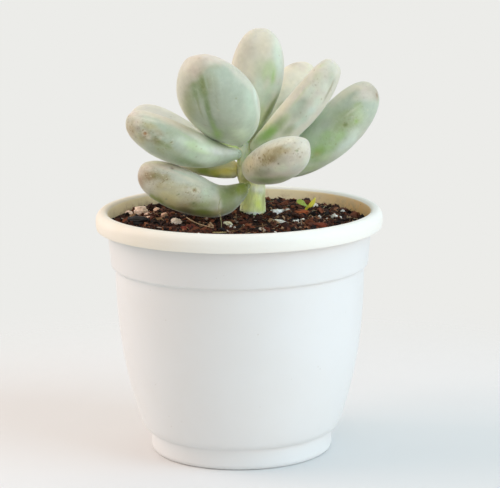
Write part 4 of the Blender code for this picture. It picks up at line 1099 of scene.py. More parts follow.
def crowd_tree():
    """A coarse model of all that stands in the light's way, and what each of its faces sends on."""
    verts, faces, sends, base = [], [], [], 0

    def put(v, blocks, share):
        nonlocal base
        verts.append(v)
        for block in blocks:
            faces.extend((np.asarray(block) + base).tolist())
            sends.extend([share] * len(block))
        base += len(v)

    for leaf in LEAVES.values():
        put(*closed_tube(leaf_shape(leaf, 26, 24)[0]), 0.32)
    put(*closed_tube(tube_rings(*smooth_path(STEM, 4), 16)), 0.32)
    a = 2 * np.pi * np.arange(48) / 48
    disc = np.stack([MOUTH_RADIUS * np.cos(a), MOUTH_RADIUS * np.sin(a), np.full(48, 84.6)], -1)
    put(np.concatenate([disc, [[0, 0, 84.6]]]), [fan_faces(0, 48, 48)], 0.08)
    wall = [np.stack([r * np.cos(a), r * np.sin(a), np.full(48, z)], -1) for r, z in
            ((MOUTH_RADIUS, 84.0), (MOUTH_RADIUS, POT_HEIGHT), (RIM_RADIUS, POT_HEIGHT), (RIM_RADIUS, 70.0))]
    put(np.concatenate(wall), [grid_faces(4, 48)], 0.6)
    tree = BVHTree.FromPolygons(np.concatenate(verts).tolist(), faces)
    return tree, sends


def light_there(points, normals, count=44):
    """Share of the light round about that reaches each point."""
    if not CROWD:
        CROWD.extend(crowd_tree())
    tree, sends = CROWD
    fan = fan_of_rays(count)
    out = np.zeros(len(points))
    for i, (p, n) in enumerate(zip(points, normals)):
        side = np.cross(n, (0.0, 1.0, 0.0) if abs(n[1]) < 0.9 else (1.0, 0.0, 0.0))
        side /= np.linalg.norm(side)
        rays = fan[:, :1] * side + fan[:, 1:2] * np.cross(n, side) + fan[:, 2:] * n
        start = Vector(p + n * 0.7)
        total = 0.0
        for ray in rays.tolist():
            hit = tree.ray_cast(start, Vector(ray), 150.0)[2]
            total += sends[hit] if hit is not None else (1.0 if ray[2] > -0.3 else 0.75)
        out[i] = total / count
    return out


def painted_glow(rings, normals):
    """How much brighter the flesh is painted, on a grid of rings, where its neighbours keep the light off it: painted
    light standing in for light that enters the lit parts of the plump leaves and comes out there."""
    n, m = rings.shape[:2]
    rows = np.unique(np.append(np.arange(0, n, 5), n - 1))
    columns = np.arange(0, m, 6)
    lit = light_there(rings[np.ix_(rows, columns)].reshape(-1, 3), normals[np.ix_(rows, columns)].reshape(-1, 3))
    lit = lit.reshape(len(rows), len(columns))
    around = np.stack([np.interp(np.arange(m), np.append(columns, m), np.append(row, row[0])) for row in lit])
    full = np.stack([np.interp(np.arange(n), rows, around[:, k]) for k in range(m)], 1)
    return np.clip((PAINTED_GLOW_FROM / np.maximum(full, 0.05)) ** PAINTED_GLOW_POWER, 1.0, PAINTED_GLOW_MOST).reshape(-1)


def painted_lift(tone, gain):
    """Colours painted brighter, easing off below white: the painted light in shaded places."""
    bright = tone * gain[:, None]
    top = bright.max(1, keepdims=True)
    eased = np.where(top > 0.62, 0.62 + 0.30 * (1 - np.exp(-(top - 0.62) / 0.30)), top)
    return bright * eased / np.maximum(top, 1e-6)


CROWD = []
# how strongly shaded flesh is painted brighter
PAINTED_GLOW_FROM = 0.80
PAINTED_GLOW_POWER = 1.0
PAINTED_GLOW_MOST = 2.6


# ================================================================ stem
STEM = (
    ((5.6, 5.0, 76.0), 3.6),
    ((5.1, 5.0, 83.0), 4.7),
    ((4.9, 5.0, 87.0), 4.7),
    ((5.1, 5.0, 91.0), 4.4),
    ((5.0, 5.1, 95.5), 4.4),
    ((3.4, 5.3, 99.5), 4.0),
    ((2.5, 5.2, 103.5), 3.3),
    ((2.2, 4.9, 107.5), 2.6),
    ((2.3, 4.7, 111.0), 1.8),
)
TAP_ROOT = (
    ((5.5, 4.6, 30.0), 0.6), ((6.3, 5.0, 42.0), 1.3), ((5.7, 4.8, 56.0), 2.1), ((6.3, 5.0, 68.0), 2.8),
)
SIDE_ROOTS = (
    (((5.9, 4.9, 73.0), 1.5), ((-4.0, -1.0, 66.0), 1.2), ((-14.0, -9.0, 59.0), 0.9), ((-21.0, -13.0, 50.0), 0.5)),
    (((6.0, 4.9, 66.0), 1.5), ((15.0, 0.0, 60.0), 1.2), ((24.0, -6.0, 55.0), 0.9), ((29.0, -12.0, 46.0), 0.5)),
    (((6.2, 5.0, 60.0), 1.4), ((7.0, 14.0, 54.0), 1.1), ((3.0, 23.0, 49.0), 0.8), ((-3.0, 30.0, 41.0), 0.5)),
)


def smooth_path(path, steps):
    """Centres and radii through the given points, smoothed between them."""
    c = np.array([p for p, _ in path], float)
    r = np.array([q for _, q in path], float)
    out, radii = [], []
    for i in range(len(c) - 1):
        a, b = c[i], c[i + 1]
        before = c[i - 1] if i else 2 * a - b
        after = c[i + 2] if i + 2 < len(c) else 2 * b - a
        for k in range(steps):
            t = k / steps
            out.append(0.5 * (2 * a + (b - before) * t + (2 * before - 5 * a + 4 * b - after) * t * t
                              + (3 * a - before - 3 * b + after) * t ** 3))
            radii.append(r[i] + (r[i + 1] - r[i]) * t)
    out.append(c[-1])
    radii.append(r[-1])
    return np.array(out), np.array(radii)


def tube_rings(centres, radii, sides, bend=None):
    ahead = np.gradient(centres, axis=0)
    ahead /= np.linalg.norm(ahead, axis=1, keepdims=True)
    side = np.cross(np.array([0.0, 1.0, 0.0]), ahead)
    flat = np.linalg.norm(side, axis=1) < 0.2
    side[flat] = np.cross(np.array([1.0, 0.0, 0.0]), ahead[flat])
    side /= np.linalg.norm(side, axis=1, keepdims=True)
    other = np.cross(ahead, side)
    a = 2 * np.pi * np.arange(sides) / sides
    return (centres[:, None] + side[:, None] * (radii[:, None] * np.cos(a))[..., None]
            + other[:, None] * (radii[:, None] * np.sin(a))[..., None])


def make_stem():
    sides = 72
    centres, radii = smooth_path(TAP_ROOT + STEM, 14)
    # a rounded growing tip
    shut = centres[-1]
    rise = np.array([0.1, 0.0, 1.0])
    extra = [(0.35, 0.93), (0.65, 0.75), (0.85, 0.5), (0.95, 0.25)]
    centres = np.concatenate([centres, [shut + rise * 1.6 * e for e, _ in extra]])
    radii = np.concatenate([radii, [1.8 * f for _, f in extra]])
    rings = tube_rings(centres, radii, sides)
    normal = outward(rings)
    n, m = rings.shape[:2]
    P, N = rings.reshape(-1, 3), normal.reshape(-1, 3)
    a = np.tile(2 * np.pi * np.arange(m) / m, n)
    z = P[:, 2]
    above = step(82.0, 86.0, z)
    lift = 0.10 * fbm(P * np.array([1, 1, 0.35]), 1.6, 3, 71) * above + 0.18 * fbm(P, 5.0, 2, 72) * above
    # scars of shed leaves: low oval rings, with a shallow dish inside
    scars = ((200, 90.5, 1.9), (300, 93.8, 1.7), (60, 96.0, 1.7), (150, 99.3, 1.5), (250, 98.2, 1.5), (340, 101.8, 1.4),
             (120, 104.6, 1.3), (20, 88.6, 1.8), (230, 103.6, 1.2))
    dish = np.zeros(len(P))
    for degrees, height, size in scars:
        turn = (a - math.radians(degrees) + np.pi) % (2 * np.pi) - np.pi
        reach = np.interp(z, centres[:-4, 2], radii[:-4])
        q = np.hypot(turn * reach / size, (z - height) / (size * 0.62))
        lift += 0.16 * np.exp(-((q - 1) / 0.28) ** 2) - 0.12 * np.exp(-q ** 2 * 1.5)
        dish = np.maximum(dish, np.exp(-q ** 2))
    places = P + N * lift[:, None]
    wander = fbm(P, 4.0, 3, 75)
    pale, cream, olive = srgb(250, 253, 236), srgb(246, 238, 204), srgb(205, 199, 144)
    yellow, lemon, shade = srgb(222, 232, 126), srgb(246, 250, 176), srgb(200, 205, 134)
    tone = np.repeat(srgb(214, 224, 182)[None], len(P), 0)
    tone = tone + (srgb(176, 168, 120) - tone) * (0.6 * step(93.0, 97.0, z) * (1 - step(103.0, 106.0, z)))[:, None]
    # painted light: above the mix the stem is painted brighter where the leaves shade it
    tone = painted_lift(tone, 1 + (painted_glow(places.reshape(n, m, 3), normal) - 1) * above)
    px, py = to_frame(places)
    # strokes of the stem's own colours; the small pale stroke at its right edge is a painted highlight, and the narrow
    # shade stroke beside it is painted shade
    for x, y, half_l, half_w, tilt, colour, strength in (
            (243, 148, 7, 8, 0, pale, 0.9), (240, 156, 6, 5, 0, pale, 0.6), (241, 163, 6, 4, 0, cream, 0.7),
            (240, 171, 6, 5, 0, cream, 0.9), (242, 179, 6, 4, 0, olive, 0.9), (254, 189, 6, 4, 0, pale, 0.95),
            (262, 190, 3, 4, 0, pale, 0.8), (256, 196, 4, 4, 0, lemon, 0.7), (251, 200, 5, 7, 0, lemon, 0.6),
            (258, 204, 4.6, 6, 0, yellow, 0.95), (264, 200, 2.2, 9, 0, shade, 0.85), (246, 207, 4, 5, 0, lemon, 0.7),
            (253, 209, 5, 3, 0, lemon, 0.6), (262, 209, 4, 4, 0, yellow, 0.6),
            (254, 213.4, 16, 1.3, 2, pale, 0.8)):
        t = math.radians(tilt)
        u = ((px - x) * math.cos(t) + (py - y) * math.sin(t)) / half_l
        v = (-(px - x) * math.sin(t) + (py - y) * math.cos(t)) / half_w
        mask = np.exp(-np.maximum(np.hypot(u, v) + 0.2 * wander, 0) ** 2.4) * strength
        tone = tone + (colour - tone) * mask[:, None]
    tone = tone * (1 - 0.18 * dish * above)[:, None]
    tone = tone + (srgb(110, 84, 56) - tone) * (step(85.4, 83.6, z + 0.9 * wander))[:, None]
    verts, faces = closed_tube(places.reshape(n, m, 3))
    tone = np.concatenate([tone, tone[:1], tone[-1:]])
    base = len(verts)
    blocks = [verts]
    tones = [tone]
    for i, root in enumerate(SIDE_ROOTS):
        c, r = smooth_path(root, 8)
        v, f = closed_tube(tube_rings(c, r, 16))
        blocks.append(v)
        faces += [block + base for block in f]
        base += len(v)
        tones.append(np.repeat(srgb(150, 122, 86)[None], len(v), 0))
    piece = make_mesh("stem_skin", np.concatenate(blocks), faces, STEM_SKIN, None, np.concatenate(tones))
    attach(piece, "root")
    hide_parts("stem_and_roots")
    return piece


# ================================================================ potting mix
SOIL_LEVEL = 83.9
MOUND_HEIGHT = 2.3
MOUND_CENTRE = (5.0, 5.0)
MOUND_WIDTH = 15.0


def soil_height(x, y):
    """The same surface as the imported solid's."""
    reach = np.hypot(x, y)
    mound = np.exp(-((x - MOUND_CENTRE[0]) ** 2 + (y - MOUND_CENTRE[1]) ** 2) / (2 * MOUND_WIDTH ** 2))
    lumps = 0.5 * np.sin(0.33 * x + 1.3) * np.cos(0.29 * y - 0.4) + 0.35 * np.sin(0.71 * x - 0.37 * y + 2.0)
    return (SOIL_LEVEL + MOUND_HEIGHT * mound + lumps * smooth((46.5 - reach) / 9)
            - 0.9 * smooth((x - 20) / 27) - 1.2 * smooth((-y - 18) / 20))


def mix_top(x, y):
    """The rough surface that is seen: the solid's surface with clods and hollows."""
    p = np.c_[x, y, np.zeros_like(x)]
    rough = 0.75 * fbm(p, 4.6, 3, 41) + 0.35 * np.abs(fbm(p, 1.5, 3, 44))
    fade = smooth((47.0 - np.hypot(x, y)) / 4)
    return soil_height(x, y) + rough * (0.35 + 0.65 * fade) - 0.1


def make_soil():
    sides, count = 440, 88
    a = 2 * np.pi * np.arange(sides) / sides
    edge = inner_radius(SOIL_LEVEL) - 0.05
    share = np.linspace(1.0, 0.02, count) ** 0.9
    rings = []
    for z in (FLOOR_TOP_Z + GAP, 9.6, 20.0, 35.0, 55.0, 67.2, 71.6):
        r = inner_radius(z) - 0.3 if z > 8 else FOOT_INNER_RADIUS
        rings.append(np.stack([r * np.cos(a), r * np.sin(a), np.full(sides, z)], -1))
    for k in share:
        x, y = edge * k * np.cos(a), edge * k * np.sin(a)
        rings.append(np.stack([x, y, mix_top(x, y)], -1))
    verts, faces = closed_tube(np.array(rings))
    piece = make_mesh("potting_mix_body", verts, faces, EARTH, 60)
    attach(piece, "root")
    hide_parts("potting_mix")
    return piece


def scatter(rng, count, reach=46.2):
    """Random places on the mix, kept clear of the stem."""
    out = []
    while len(out) < count:
        r, t = reach * math.sqrt(rng.uniform()), rng.uniform(0, 2 * math.pi)
        x, y = r * math.cos(t), r * math.sin(t)
        if math.hypot(x - 6.2, y - 5.0) > 3.6:
            out.append((x, y))
    return np.array(out)


def many(protos, kinds, scales, spins, places, tones):
    """Copies of small shapes as one mesh: points, faces, colours."""
    verts, faces, colours, base = [], [], [], 0
    for k, (v, f) in enumerate(protos):
        who = np.where(kinds == k)[0]
        if not len(who):
            continue
        local = v[None] * scales[who][:, None]
        world = np.einsum("nij,nvj->nvi", spins[who], local) + places[who][:, None]
        verts.append(world.reshape(-1, 3))
        faces.append((f[None] + (base + np.arange(len(who)) * len(v))[:, None, None]).reshape(-1, f.shape[1]))
        colours.append(np.repeat(tones[who], len(v), 0))
        base += len(who) * len(v)
    return np.concatenate(verts), faces, np.concatenate(colours)


def broken(level, rough, squareness, seeds):
    """Prototypes of broken grains: spheres pulled towards boxes, roughened."""
    out = []
    for seed in seeds:
        v, f = ico(level)
        v = np.sign(v) * np.abs(v) ** squareness
        v = v * (1 + rough * noise(v * 1.7, 1.0, seed))[:, None]
        v = v * (1 + 0.5 * rough * noise(v * 4.1, 1.0, seed + 3))[:, None]
        out.append((v, f))
    return out


CRUMB_TONES = (
    (srgb(28, 18, 16), 0.27), (srgb(60, 35, 27), 0.29), (srgb(94, 52, 36), 0.24), (srgb(134, 76, 50), 0.10),
    (srgb(150, 100, 70), 0.06), (srgb(176, 142, 108), 0.03), (srgb(214, 196, 176), 0.006), (srgb(36, 34, 36), 0.02),
)


def crumb_tones(rng, count, lean=1.0):
    share = np.array([w for _, w in CRUMB_TONES]) ** lean
    which = rng.choice(len(CRUMB_TONES), count, p=share / share.sum())
    tone = np.array([c for c, _ in CRUMB_TONES])[which]
    return tone * rng.uniform(0.75, 1.3, (count, 1))


def make_crumbs():
    rng = np.random.RandomState(11)
    pieces = []

    # small and middling crumbs
    count = 4800
    spots = scatter(rng, count)
    size = np.clip(rng.lognormal(-0.55, 0.42, count), 0.28, 1.7)
    scales = size[:, None] * np.c_[rng.uniform(0.8, 1.5, count), rng.uniform(0.6, 1.0, count), rng.uniform(0.4, 0.8, count)]
    z = mix_top(spots[:, 0], spots[:, 1]) + rng.uniform(-0.35, 0.35, count) * size
    protos = broken(0, 0.42, 0.85, range(1, 9))
    v, f, c = many(protos, rng.randint(0, len(protos), count), scales, turns(rng, count), np.c_[spots, z],
                   crumb_tones(rng, count))
    pieces.append(make_mesh("mix_crumbs_fine", v, f, CRUMBS, 30, c))

    # larger clods and chips of bark
    count = 520
    spots = scatter(rng, count, 45.0)
    size = rng.uniform(0.9, 1.9, count)
    scales = size[:, None] * np.c_[rng.uniform(0.9, 1.7, count), rng.uniform(0.6, 1.0, count), rng.uniform(0.35, 0.7, count)]
    z = mix_top(spots[:, 0], spots[:, 1]) + rng.uniform(-0.45, 0.2, count) * size
    protos = broken(1, 0.55, 0.75, range(20, 34))
    spins = np.einsum("nij,njk->nik", about_z(rng.uniform(0, 2 * np.pi, count)), tilted(rng, count, 0.45))
    v, f, c = many(protos, rng.randint(0, len(protos), count), scales, spins, np.c_[spots, z],
                   crumb_tones(rng, count, 0.8))
    pieces.append(make_mesh("mix_clods", v, f, CRUMBS, 35, c))

    # splinters: flat, tapering and slightly bent
    protos = []
    for seed in range(6):
        r = np.random.RandomState(60 + seed)
        t = np.linspace(-1, 1, 7)
        width = (1 - np.abs(t) ** 2.5) * r.uniform(0.8, 1.2, 7) + 0.12
        bend = 0.20 * r.uniform(-1, 1) * t ** 2 + 0.1 * r.normal(size=7)
        rings = []
        for k in range(7):
            ang = 2 * np.pi * np.arange(5) / 5 + 0.3 * k
            rings.append(np.stack([np.full(5, t[k]), bend[k] + width[k] * np.cos(ang),
                                   0.5 * width[k] * np.sin(ang) + 0.4 * bend[k]], -1))
        verts, faces = closed_tube(np.array(rings))
        tri = []
        for block in faces:
            for poly in block.tolist():
                tri += [poly] if len(poly) == 3 else [[poly[0], poly[1], poly[2]], [poly[0], poly[2], poly[3]]]
        protos.append((verts, np.array(tri)))
    count = 1400
    spots = scatter(rng, count, 45.4)
    half = np.clip(rng.lognormal(0.48, 0.48, count), 0.8, 4.6)
    thin = rng.uniform(0.08, 0.36, count)
    scales = np.c_[half, thin, thin * rng.uniform(0.4, 0.9, count)]
    # long ones keep clear of the wall
    reach = np.hypot(spots[:, 0], spots[:, 1])
    spots *= np.minimum(1.0, (46.4 - half * 0.8) / reach)[:, None]
    z = mix_top(spots[:, 0], spots[:, 1]) + rng.uniform(0.0, 0.65, count)
    spins = np.einsum("nij,njk->nik", about_z(rng.uniform(0, 2 * np.pi, count)), tilted(rng, count, 0.22))
    v, f, c = many(protos, rng.randint(0, 6, count), scales, spins, np.c_[spots, z], crumb_tones(rng, count, 0.55))
    pieces.append(make_mesh("mix_splinters", v, f, CRUMBS, 35, c))
    for piece in pieces:
        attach(piece, "root")
    return pieces


def tilted(rng, count, most):
    """Small random tilts off the level."""
    a, b = rng.normal(0, most, count), rng.normal(0, most, count)
    ca, sa, cb, sb, o = np.cos(a), np.sin(a), np.cos(b), np.sin(b), np.zeros(count)
    rx = np.stack([o + 1, o, o, o, ca, -sa, o, sa, ca], -1).reshape(-1, 3, 3)
    ry = np.stack([cb, o, sb, o, o + 1, o, -sb, o, cb], -1).reshape(-1, 3, 3)
    return np.einsum("nij,njk->nik", rx, ry)


def make_fibres():
    """Fine roots and coir hairs: short curved tubes. A few pale ones lie where the picture shows them."""
    rng = np.random.RandomState(23)
    verts, faces, tones, base = [], [], [], 0
    tan, pale, red, dark = srgb(168, 132, 92), srgb(206, 188, 146), srgb(112, 58, 38), srgb(52, 30, 24)

    def add(path, radius, colour, sides=5):
        nonlocal base
        centres, _ = smooth_path(tuple((tuple(p), radius) for p in path), 4)
        taper = radius * (1 - 0.55 * np.abs(np.linspace(-1, 1, len(centres))) ** 3)
        v, f = closed_tube(tube_rings(centres, taper, sides))
        verts.append(v)
        faces.extend(block + base for block in f)
        base += len(v)
        tones.append(np.repeat(colour[None], len(v), 0))

    for _ in range(430):
        x, y = scatter(rng, 1, 43.5)[0]
        heading = rng.uniform(0, 2 * math.pi)
        half = rng.uniform(1.2, 4.2)
        bow = rng.uniform(-0.35, 0.35)
        path = []
        for t in (-1.0, -0.5, 0.0, 0.5, 1.0):
            u, v = half * t, half * bow * (1 - t * t) + rng.normal(0, 0.12)
            qx = x + u * math.cos(heading) - v * math.sin(heading)
            qy = y + u * math.sin(heading) + v * math.cos(heading)
            r = math.hypot(qx, qy)
            if r > 46.0:
                qx, qy = qx * 46.0 / r, qy * 46.0 / r
            z = float(mix_top(np.array([qx]), np.array([qy]))[0]) + rng.uniform(0.1, 0.9)
            path.append((qx, qy, z))
        colour = (tan, pale, red, dark)[rng.choice(4, p=(0.32, 0.12, 0.34, 0.22))] * rng.uniform(0.8, 1.2)
        add(path, rng.uniform(0.05, 0.12), colour)

    def on_mix(points, lift=0.55):
        return [(x, y, float(mix_top(np.array([x]), np.array([y]))[0]) + lift) for x, y in points]

    # the pale hair that stands up before the low left leaf
    add(((-6.3, -20.7, 96.4), (-6.9, -20.8, 94.2), (-7.0, -20.6, 92.0), (-6.6, -20.2, 89.6), (-6.2, -19.6, 86.8),
         (-6.4, -18.8, 84.6)), 0.13, srgb(196, 196, 142))
    # the pale curved root on the left, and two straws
    add(on_mix(((-20.2, 1.0), (-18.0, -5.0), (-15.4, -10.8), (-12.6, -15.0), (-9.2, -18.4)), 1.2), 0.22, srgb(232, 198, 156))
    add(on_mix(((-9.4, -25.4), (-7.2, -25.9), (-4.4, -25.8)), 1.0), 0.20, srgb(214, 200, 140))
    add(on_mix(((-15.6, -16.6), (-13.4, -20.4), (-11.6, -24.2)), 0.5), 0.11, srgb(150, 116, 80))
    add(on_mix(((8.2, -13.4), (8.5, -17.6), (8.3, -21.2)), 0.6), 0.15, srgb(190, 160, 112))
    add(on_mix(((4.2, -12.4), (1.6, -15.8), (0.6, -20.0)), 0.6), 0.11, srgb(160, 120, 86))
    add(on_mix(((13.0, -16.6), (15.6, -12.6), (17.8, -9.4)), 0.9), 0.16, srgb(226, 216, 186))
    add(on_mix(((29.6, -13.0), (30.4, -9.6), (31.0, -6.8)), 0.8), 0.12, srgb(180, 138, 110))
    # the dark hair hung over the rim on the right
    add(((44.6, 15.2, 86.6), (45.6, 15.6, 88.2), (46.4, 15.9, 89.4 - 0.9)), 0.10, srgb(110, 92, 72))
    piece = make_mesh("mix_fibres", np.concatenate(verts), faces, CRUMBS, None, np.concatenate(tones))
    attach(piece, "root")
    return piece


# ================================================================ loose pieces
PERLITE = (
    ((-36.3, 17.0), (4.8, 4.2, 3.6), 20), ((-40.6, 14.2), (3.6, 3.2, 2.6), 75), ((-33.6, 12.9), (2.6, 2.4, 2.0), 10),
    ((-32.6, 4.2), (2.6, 2.2, 1.8), 130), ((-30.6, 22.0), (3.0, 2.8, 2.2), 60), ((-27.2, 8.4), (3.0, 2.6, 2.2), 95),
    ((-22.7, -6.6), (3.8, 3.4, 2.8), 35), ((-4.1, -13.1), (3.6, 2.6, 2.0), 150), ((13.6, 6.0), (4.4, 3.0, 1.8), 5),
    ((17.8, 12.6), (3.0, 2.6, 2.0), 80), ((14.3, -9.0), (4.4, 2.4, 1.6), 170), ((-12.0, 30.0), (4.2, 3.4, 2.8), 50),
    ((28.0, 27.0), (3.4, 3.0, 2.4), 110),
)
CHARCOAL = ((-36.4, -3.4), (8.0, 4.6, 3.4), -12)
BARK = (
    ((22.4, 5.0), (5.2, 3.4, 2.2), 25), ((27.7, -14.4), (7.4, 4.0, 1.6), -8), ((-18.1, -19.0), (5.4, 3.0, 1.6), 35),
    ((9.0, -18.0), (4.6, 2.6, 1.4), -30), ((-2.0, 38.0), (7.0, 3.6, 1.8), 70),
)
SEEDLING_AT = (24.2, 13.5)


def loose(name, node, at, size, turn, material, tone, squareness, rough, seed, sink=0.25, sharp=None, grain=None):
    """A broken grain set into the mix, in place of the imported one."""
    v, f = ico(4)
    v = np.sign(v) * np.abs(v) ** squareness
    swell = 1 + rough * fbm(v * 1.5 + seed, 1.0, 4, seed, 0.55)
    v = v * swell[:, None]
    if grain is not None:
        v = v + v * (0.10 * noise(v * np.array(grain), 1.0, seed + 5))[:, None]
    v = v * np.array(size) / 2
    t = math.radians(turn)
    spin = np.array([[math.cos(t), -math.sin(t), 0], [math.sin(t), math.cos(t), 0], [0, 0, 1]])
    v = v @ spin.T
    ground = float(mix_top(np.array([at[0]]), np.array([at[1]]))[0])
    v = v + np.array([at[0], at[1], ground + size[2] * (0.5 - sink)])
    shade = 1 + 0.12 * fbm(v, 1.2, 3, seed + 8)
    piece = make_mesh(name, v, [f], material, sharp, tone[None] * shade[:, None])
    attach(piece, "root")
    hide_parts(node)
    return piece


def make_loose_pieces():
    tones = (srgb(250, 228, 210), srgb(246, 222, 204), srgb(244, 216, 196), srgb(236, 208, 186), srgb(234, 200, 176),
             srgb(222, 184, 158), srgb(252, 238, 220), srgb(222, 218, 184), srgb(248, 246, 240), srgb(228, 222, 210),
             srgb(232, 230, 216), srgb(228, 214, 200), srgb(226, 216, 202))
    for i, (at, size, turn) in enumerate(PERLITE):
        loose(f"perlite_grain_{i + 1:02d}", f"perlite_{i + 1:02d}", at, size, turn, PERLITE_SKIN, tones[i], 0.85, 0.42,
              100 + i)
    at, size, turn = CHARCOAL
    loose("charcoal_lump", "charcoal_chunk", at, size, turn, CHARCOAL_SKIN, srgb(20, 18, 20), 0.55, 0.30, 140,
          0.2, 30, (0.5, 4.0, 4.0))
    barks = (srgb(190, 98, 54), srgb(138, 64, 38), srgb(128, 52, 34), srgb(112, 52, 36), srgb(104, 54, 38))
    for i, (at, size, turn) in enumerate(BARK):
        loose(f"bark_flake_{i + 1}", f"bark_chip_{i + 1}", at, size, turn, BARK_SKIN, barks[i], 0.62, 0.34, 150 + i,
              0.3, 35, (0.6, 4.5, 3.0))
    # small grains of perlite among the crumbs
    rng = np.random.RandomState(31)
    spots = np.array([(-40.0, 3.0), (-38.6, 5.0), (-20.6, -13.0), (-24.6, 16.0), (-3.0, -17.0), (-1.6, -19.8),
                      (12.4, -3.0), (17.4, -10.6), (19.0, -5.0), (20.4, -8.0), (22.0, -14.0), (29.0, 2.6), (31.6, 0.6),
                      (34.6, 1.8), (36.6, 1.2), (3.0, -12.6), (4.6, -13.4), (15.6, 9.6), (-33.0, 20.0), (9.6, -25.0),
                      (17.0, -25.6), (-14.0, -27.0), (26.6, -24.0), (38.0, -12.0), (-30.0, -20.0), (-42.6, 6.4)])
    spots = np.concatenate([spots, scatter(rng, 16, 44.0)])
    count = len(spots)
    size = rng.uniform(0.35, 0.95, count)
    size[26:] *= 0.7
    scales = size[:, None] * rng.uniform(0.7, 1.2, (count, 3))
    z = mix_top(spots[:, 0], spots[:, 1]) + 0.35 * size
    protos = broken(2, 0.5, 0.85, range(70, 76))
    tone = np.array([srgb(236, 226, 212), srgb(214, 196, 174), srgb(244, 240, 230)])[rng.randint(0, 3, count)]
    v, f, c = many(protos, rng.randint(0, 6, count), scales, turns(rng, count), np.c_[spots, z], tone)
    piece = make_mesh("perlite_crumbs", v, f, PERLITE_SKIN, 40, c)
    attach(piece, "root")


def make_seedling():
    """A weed seedling: a narrow yellow leaf on a short stalk, and a rounder green one beside it."""
    x, y = SEEDLING_AT
    z = float(soil_height(np.array([x]), np.array([y]))[0]) + 0.9
    verts, faces, tones, base = [], [], [], 0

    def blade(path, widths, thick, up, colour, tip):
        nonlocal base
        c, w = smooth_path(tuple((p, q) for p, q in zip(path, widths)), 6)
        ahead = np.gradient(c, axis=0)
        ahead /= np.linalg.norm(ahead, axis=1, keepdims=True)
        side = np.cross(ahead, np.array(up))
        side /= np.linalg.norm(side, axis=1, keepdims=True)
        top = np.cross(side, ahead)
        a = 2 * np.pi * np.arange(12) / 12
        t = np.minimum(thick, w * 0.6)
        rings = (c[:, None] + side[:, None] * (w[:, None] * np.cos(a))[..., None]
                 + top[:, None] * (t[:, None] * np.sin(a) + 0.35 * w[:, None] * np.cos(a) ** 2)[..., None])
        v, f = closed_tube(rings)
        share = np.concatenate([np.repeat(np.linspace(0, 1, len(c)), 12), [0, 1]])
        verts.append(v)
        faces.extend(block + base for block in f)
        base += len(v)
        tones.append(colour + (tip - colour) * share[:, None])

    yellow, green, lime = srgb(232, 216, 52), srgb(136, 160, 50), srgb(160, 178, 72)
    blade(((x, y, z - 1.6), (x + 0.3, y - 0.2, z - 0.4), (x + 0.9, y - 0.3, z + 0.5), (x + 1.6, y - 0.3, z + 0.9)),
          (0.42, 0.45, 0.5, 0.35), 0.4, (0, -1, 0.2), yellow, yellow)
    blade(((x + 1.2, y - 0.3, z + 0.7), (x + 2.2, y - 0.2, z + 1.4), (x + 3.0, y, z + 2.5), (x + 3.7, y + 0.1, z + 3.9)),
          (0.55, 0.85, 0.75, 0.2), 0.28, (0.2, -1, 0.2), yellow, srgb(236, 222, 84))
    blade(((x + 1.0, y - 0.3, z + 0.5), (x + 0.0, y - 0.2, z + 1.1), (x - 1.2, y, z + 1.9), (x - 2.4, y + 0.1, z + 2.4),
           (x - 3.2, y + 0.2, z + 2.5)), (0.35, 0.55, 1.15, 1.1, 0.2), 0.35, (0.1, -0.7, 0.7), green, lime)
    piece = make_mesh("seedling_blades", np.concatenate(verts), faces, SHOOT_SKIN, None, np.concatenate(tones))
    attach(piece, "root")
    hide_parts("seedling")


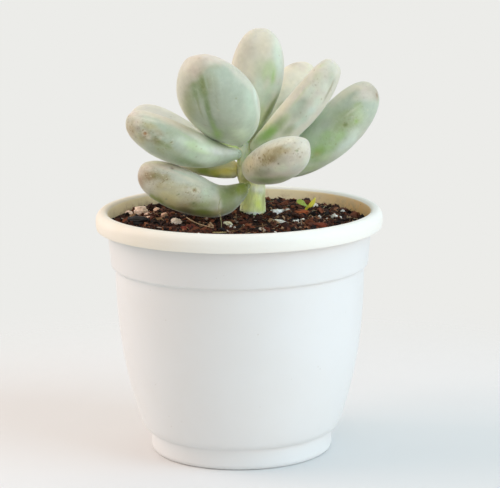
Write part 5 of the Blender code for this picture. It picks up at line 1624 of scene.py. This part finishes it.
# ================================================================ stage
def make_stage():
    """A pale table that fades out around the pot, five soft lights and an even pale surround."""
    sides = 128
    radii = (0.0, 60.0, 110.0, 200.0, 420.0)
    a = 2 * np.pi * np.arange(sides) / sides
    rings = [np.stack([r * np.cos(a), r * np.sin(a), np.full(sides, -0.02)], -1) for r in radii[1:]]
    verts = np.concatenate([np.array(rings).reshape(-1, 3), [[0, 0, -0.02]]])
    faces = [grid_faces(len(rings), sides)[:, ::-1], fan_faces(0, sides, len(verts) - 1)]
    s = Shader("table_top", Roughness=0.75)
    s.set(Specular_IOR_Level=0.2)
    wear = s.noise(40.0, 3.0)
    s.set(Base_Color=s.mix(s.scale(wear, 0.3, 0.7, 0.0, 0.5), srgb(243, 243, 242) * PALE, srgb(240, 240, 239) * PALE))
    reach = s.add("ShaderNodeVectorMath", {"operation": "LENGTH"}, i0=s.place()).outputs["Value"]
    clear = s.add("ShaderNodeBsdfTransparent").outputs[0]
    blend = s.tree.nodes.new("ShaderNodeMixShader")
    s.tree.links.new(s.scale(reach, 0.112, 0.26), blend.inputs[0])
    s.tree.links.new(s.shader.outputs[0], blend.inputs[1])
    s.tree.links.new(clear, blend.inputs[2])
    out = next(n for n in s.tree.nodes if n.type == "OUTPUT_MATERIAL")
    s.tree.links.new(blend.outputs[0], out.inputs["Surface"])
    floor = make_mesh("table", verts, faces, s.material, None)

    for name, bearing, elevation, watts in LIGHTS:
        light = bpy.data.lights.new(name, "AREA")
        light.shape = "SQUARE"
        light.size = 0.7
        light.energy = max(watts) / PALE
        light.color = [w / max(watts) for w in watts]
        obj = bpy.data.objects.new(name, light)
        b, e = math.radians(bearing), math.radians(elevation)
        away = Vector((math.cos(e) * math.cos(b), math.cos(e) * math.sin(b), math.sin(e)))
        obj.location = Vector((0, 0, 0.07)) + away
        obj.rotation_euler = (-away).to_track_quat("-Z", "Y").to_euler()
        obj.visible_camera = False
        bpy.context.scene.collection.objects.link(obj)

    world = bpy.data.worlds.new("surround")
    bpy.context.scene.world = world
    world.use_nodes = True
    tree = world.node_tree
    back = tree.nodes["Background"]
    back.inputs["Color"].default_value = (*(srgb(236, 236, 233) / srgb(236, 236, 233).max()), 1)
    back.inputs["Strength"].default_value = float(srgb(236, 236, 233).max())
    soft = tree.nodes.new("ShaderNodeBackground")
    soft.inputs["Color"].default_value = (*WORLD_COLOUR, 1)
    soft.inputs["Strength"].default_value = WORLD_STRENGTH / PALE
    path = tree.nodes.new("ShaderNodeLightPath")
    blend = tree.nodes.new("ShaderNodeMixShader")
    tree.links.new(path.outputs["Is Camera Ray"], blend.inputs[0])
    tree.links.new(soft.outputs[0], blend.inputs[1])
    tree.links.new(back.outputs[0], blend.inputs[2])
    out = next(n for n in tree.nodes if n.type == "OUTPUT_WORLD")
    tree.links.new(blend.outputs[0], out.inputs["Surface"])

    camera = bpy.data.cameras.new("camera")
    camera.lens = FOCAL / 500.0 * 36.0
    camera.sensor_width = 36.0
    camera.sensor_fit = "HORIZONTAL"
    camera.clip_start, camera.clip_end = 0.01, 20.0
    obj = bpy.data.objects.new("camera", camera)
    obj.matrix_world = (Matrix.Translation(Vector(EYE) * MM) @ Matrix.Rotation(math.pi / 2 - PITCH, 4, "X")
                        @ Matrix.Rotation(-ROLL, 4, "Z"))
    bpy.context.scene.collection.objects.link(obj)
    bpy.context.scene.camera = obj
    bpy.context.scene.view_settings.view_transform = "Standard"


WORLD_COLOUR = (1.0, 0.983, 0.951)
WORLD_STRENGTH = 0.571
# name, bearing from the right-hand side, elevation (degrees), watts for red, green and blue
LIGHTS = (
    ("right_low", -30, 12, (3.28, 3.16, 3.16)),
    ("right_high", -30, 38, (0.87, 2.03, 2.83)),
    ("left_behind", 150, 12, (2.43, 2.28, 2.19)),
    ("left_high", 180, 38, (3.49, 2.59, 2.26)),
    ("rear_high", 60, 64, (0.63, 0.72, 0.71)),
)

# ================================================================ build
make_stage()
make_pot()
make_soil()
make_crumbs()
make_fibres()
make_loose_pieces()
make_seedling()
make_stem()
for index, (leaf_name, leaf_data) in enumerate(LEAVES.items()):
    if leaf_name.startswith("young"):
        make_leaf(leaf_name, leaf_data, 40, 48, index + 1)
    elif leaf_name in ("leaf_rear", "leaf_rear_low", "leaf_rear_right"):
        make_leaf(leaf_name, leaf_data, 104, 112, index + 1)
    else:
        make_leaf(leaf_name, leaf_data, 128, 136, index + 1)
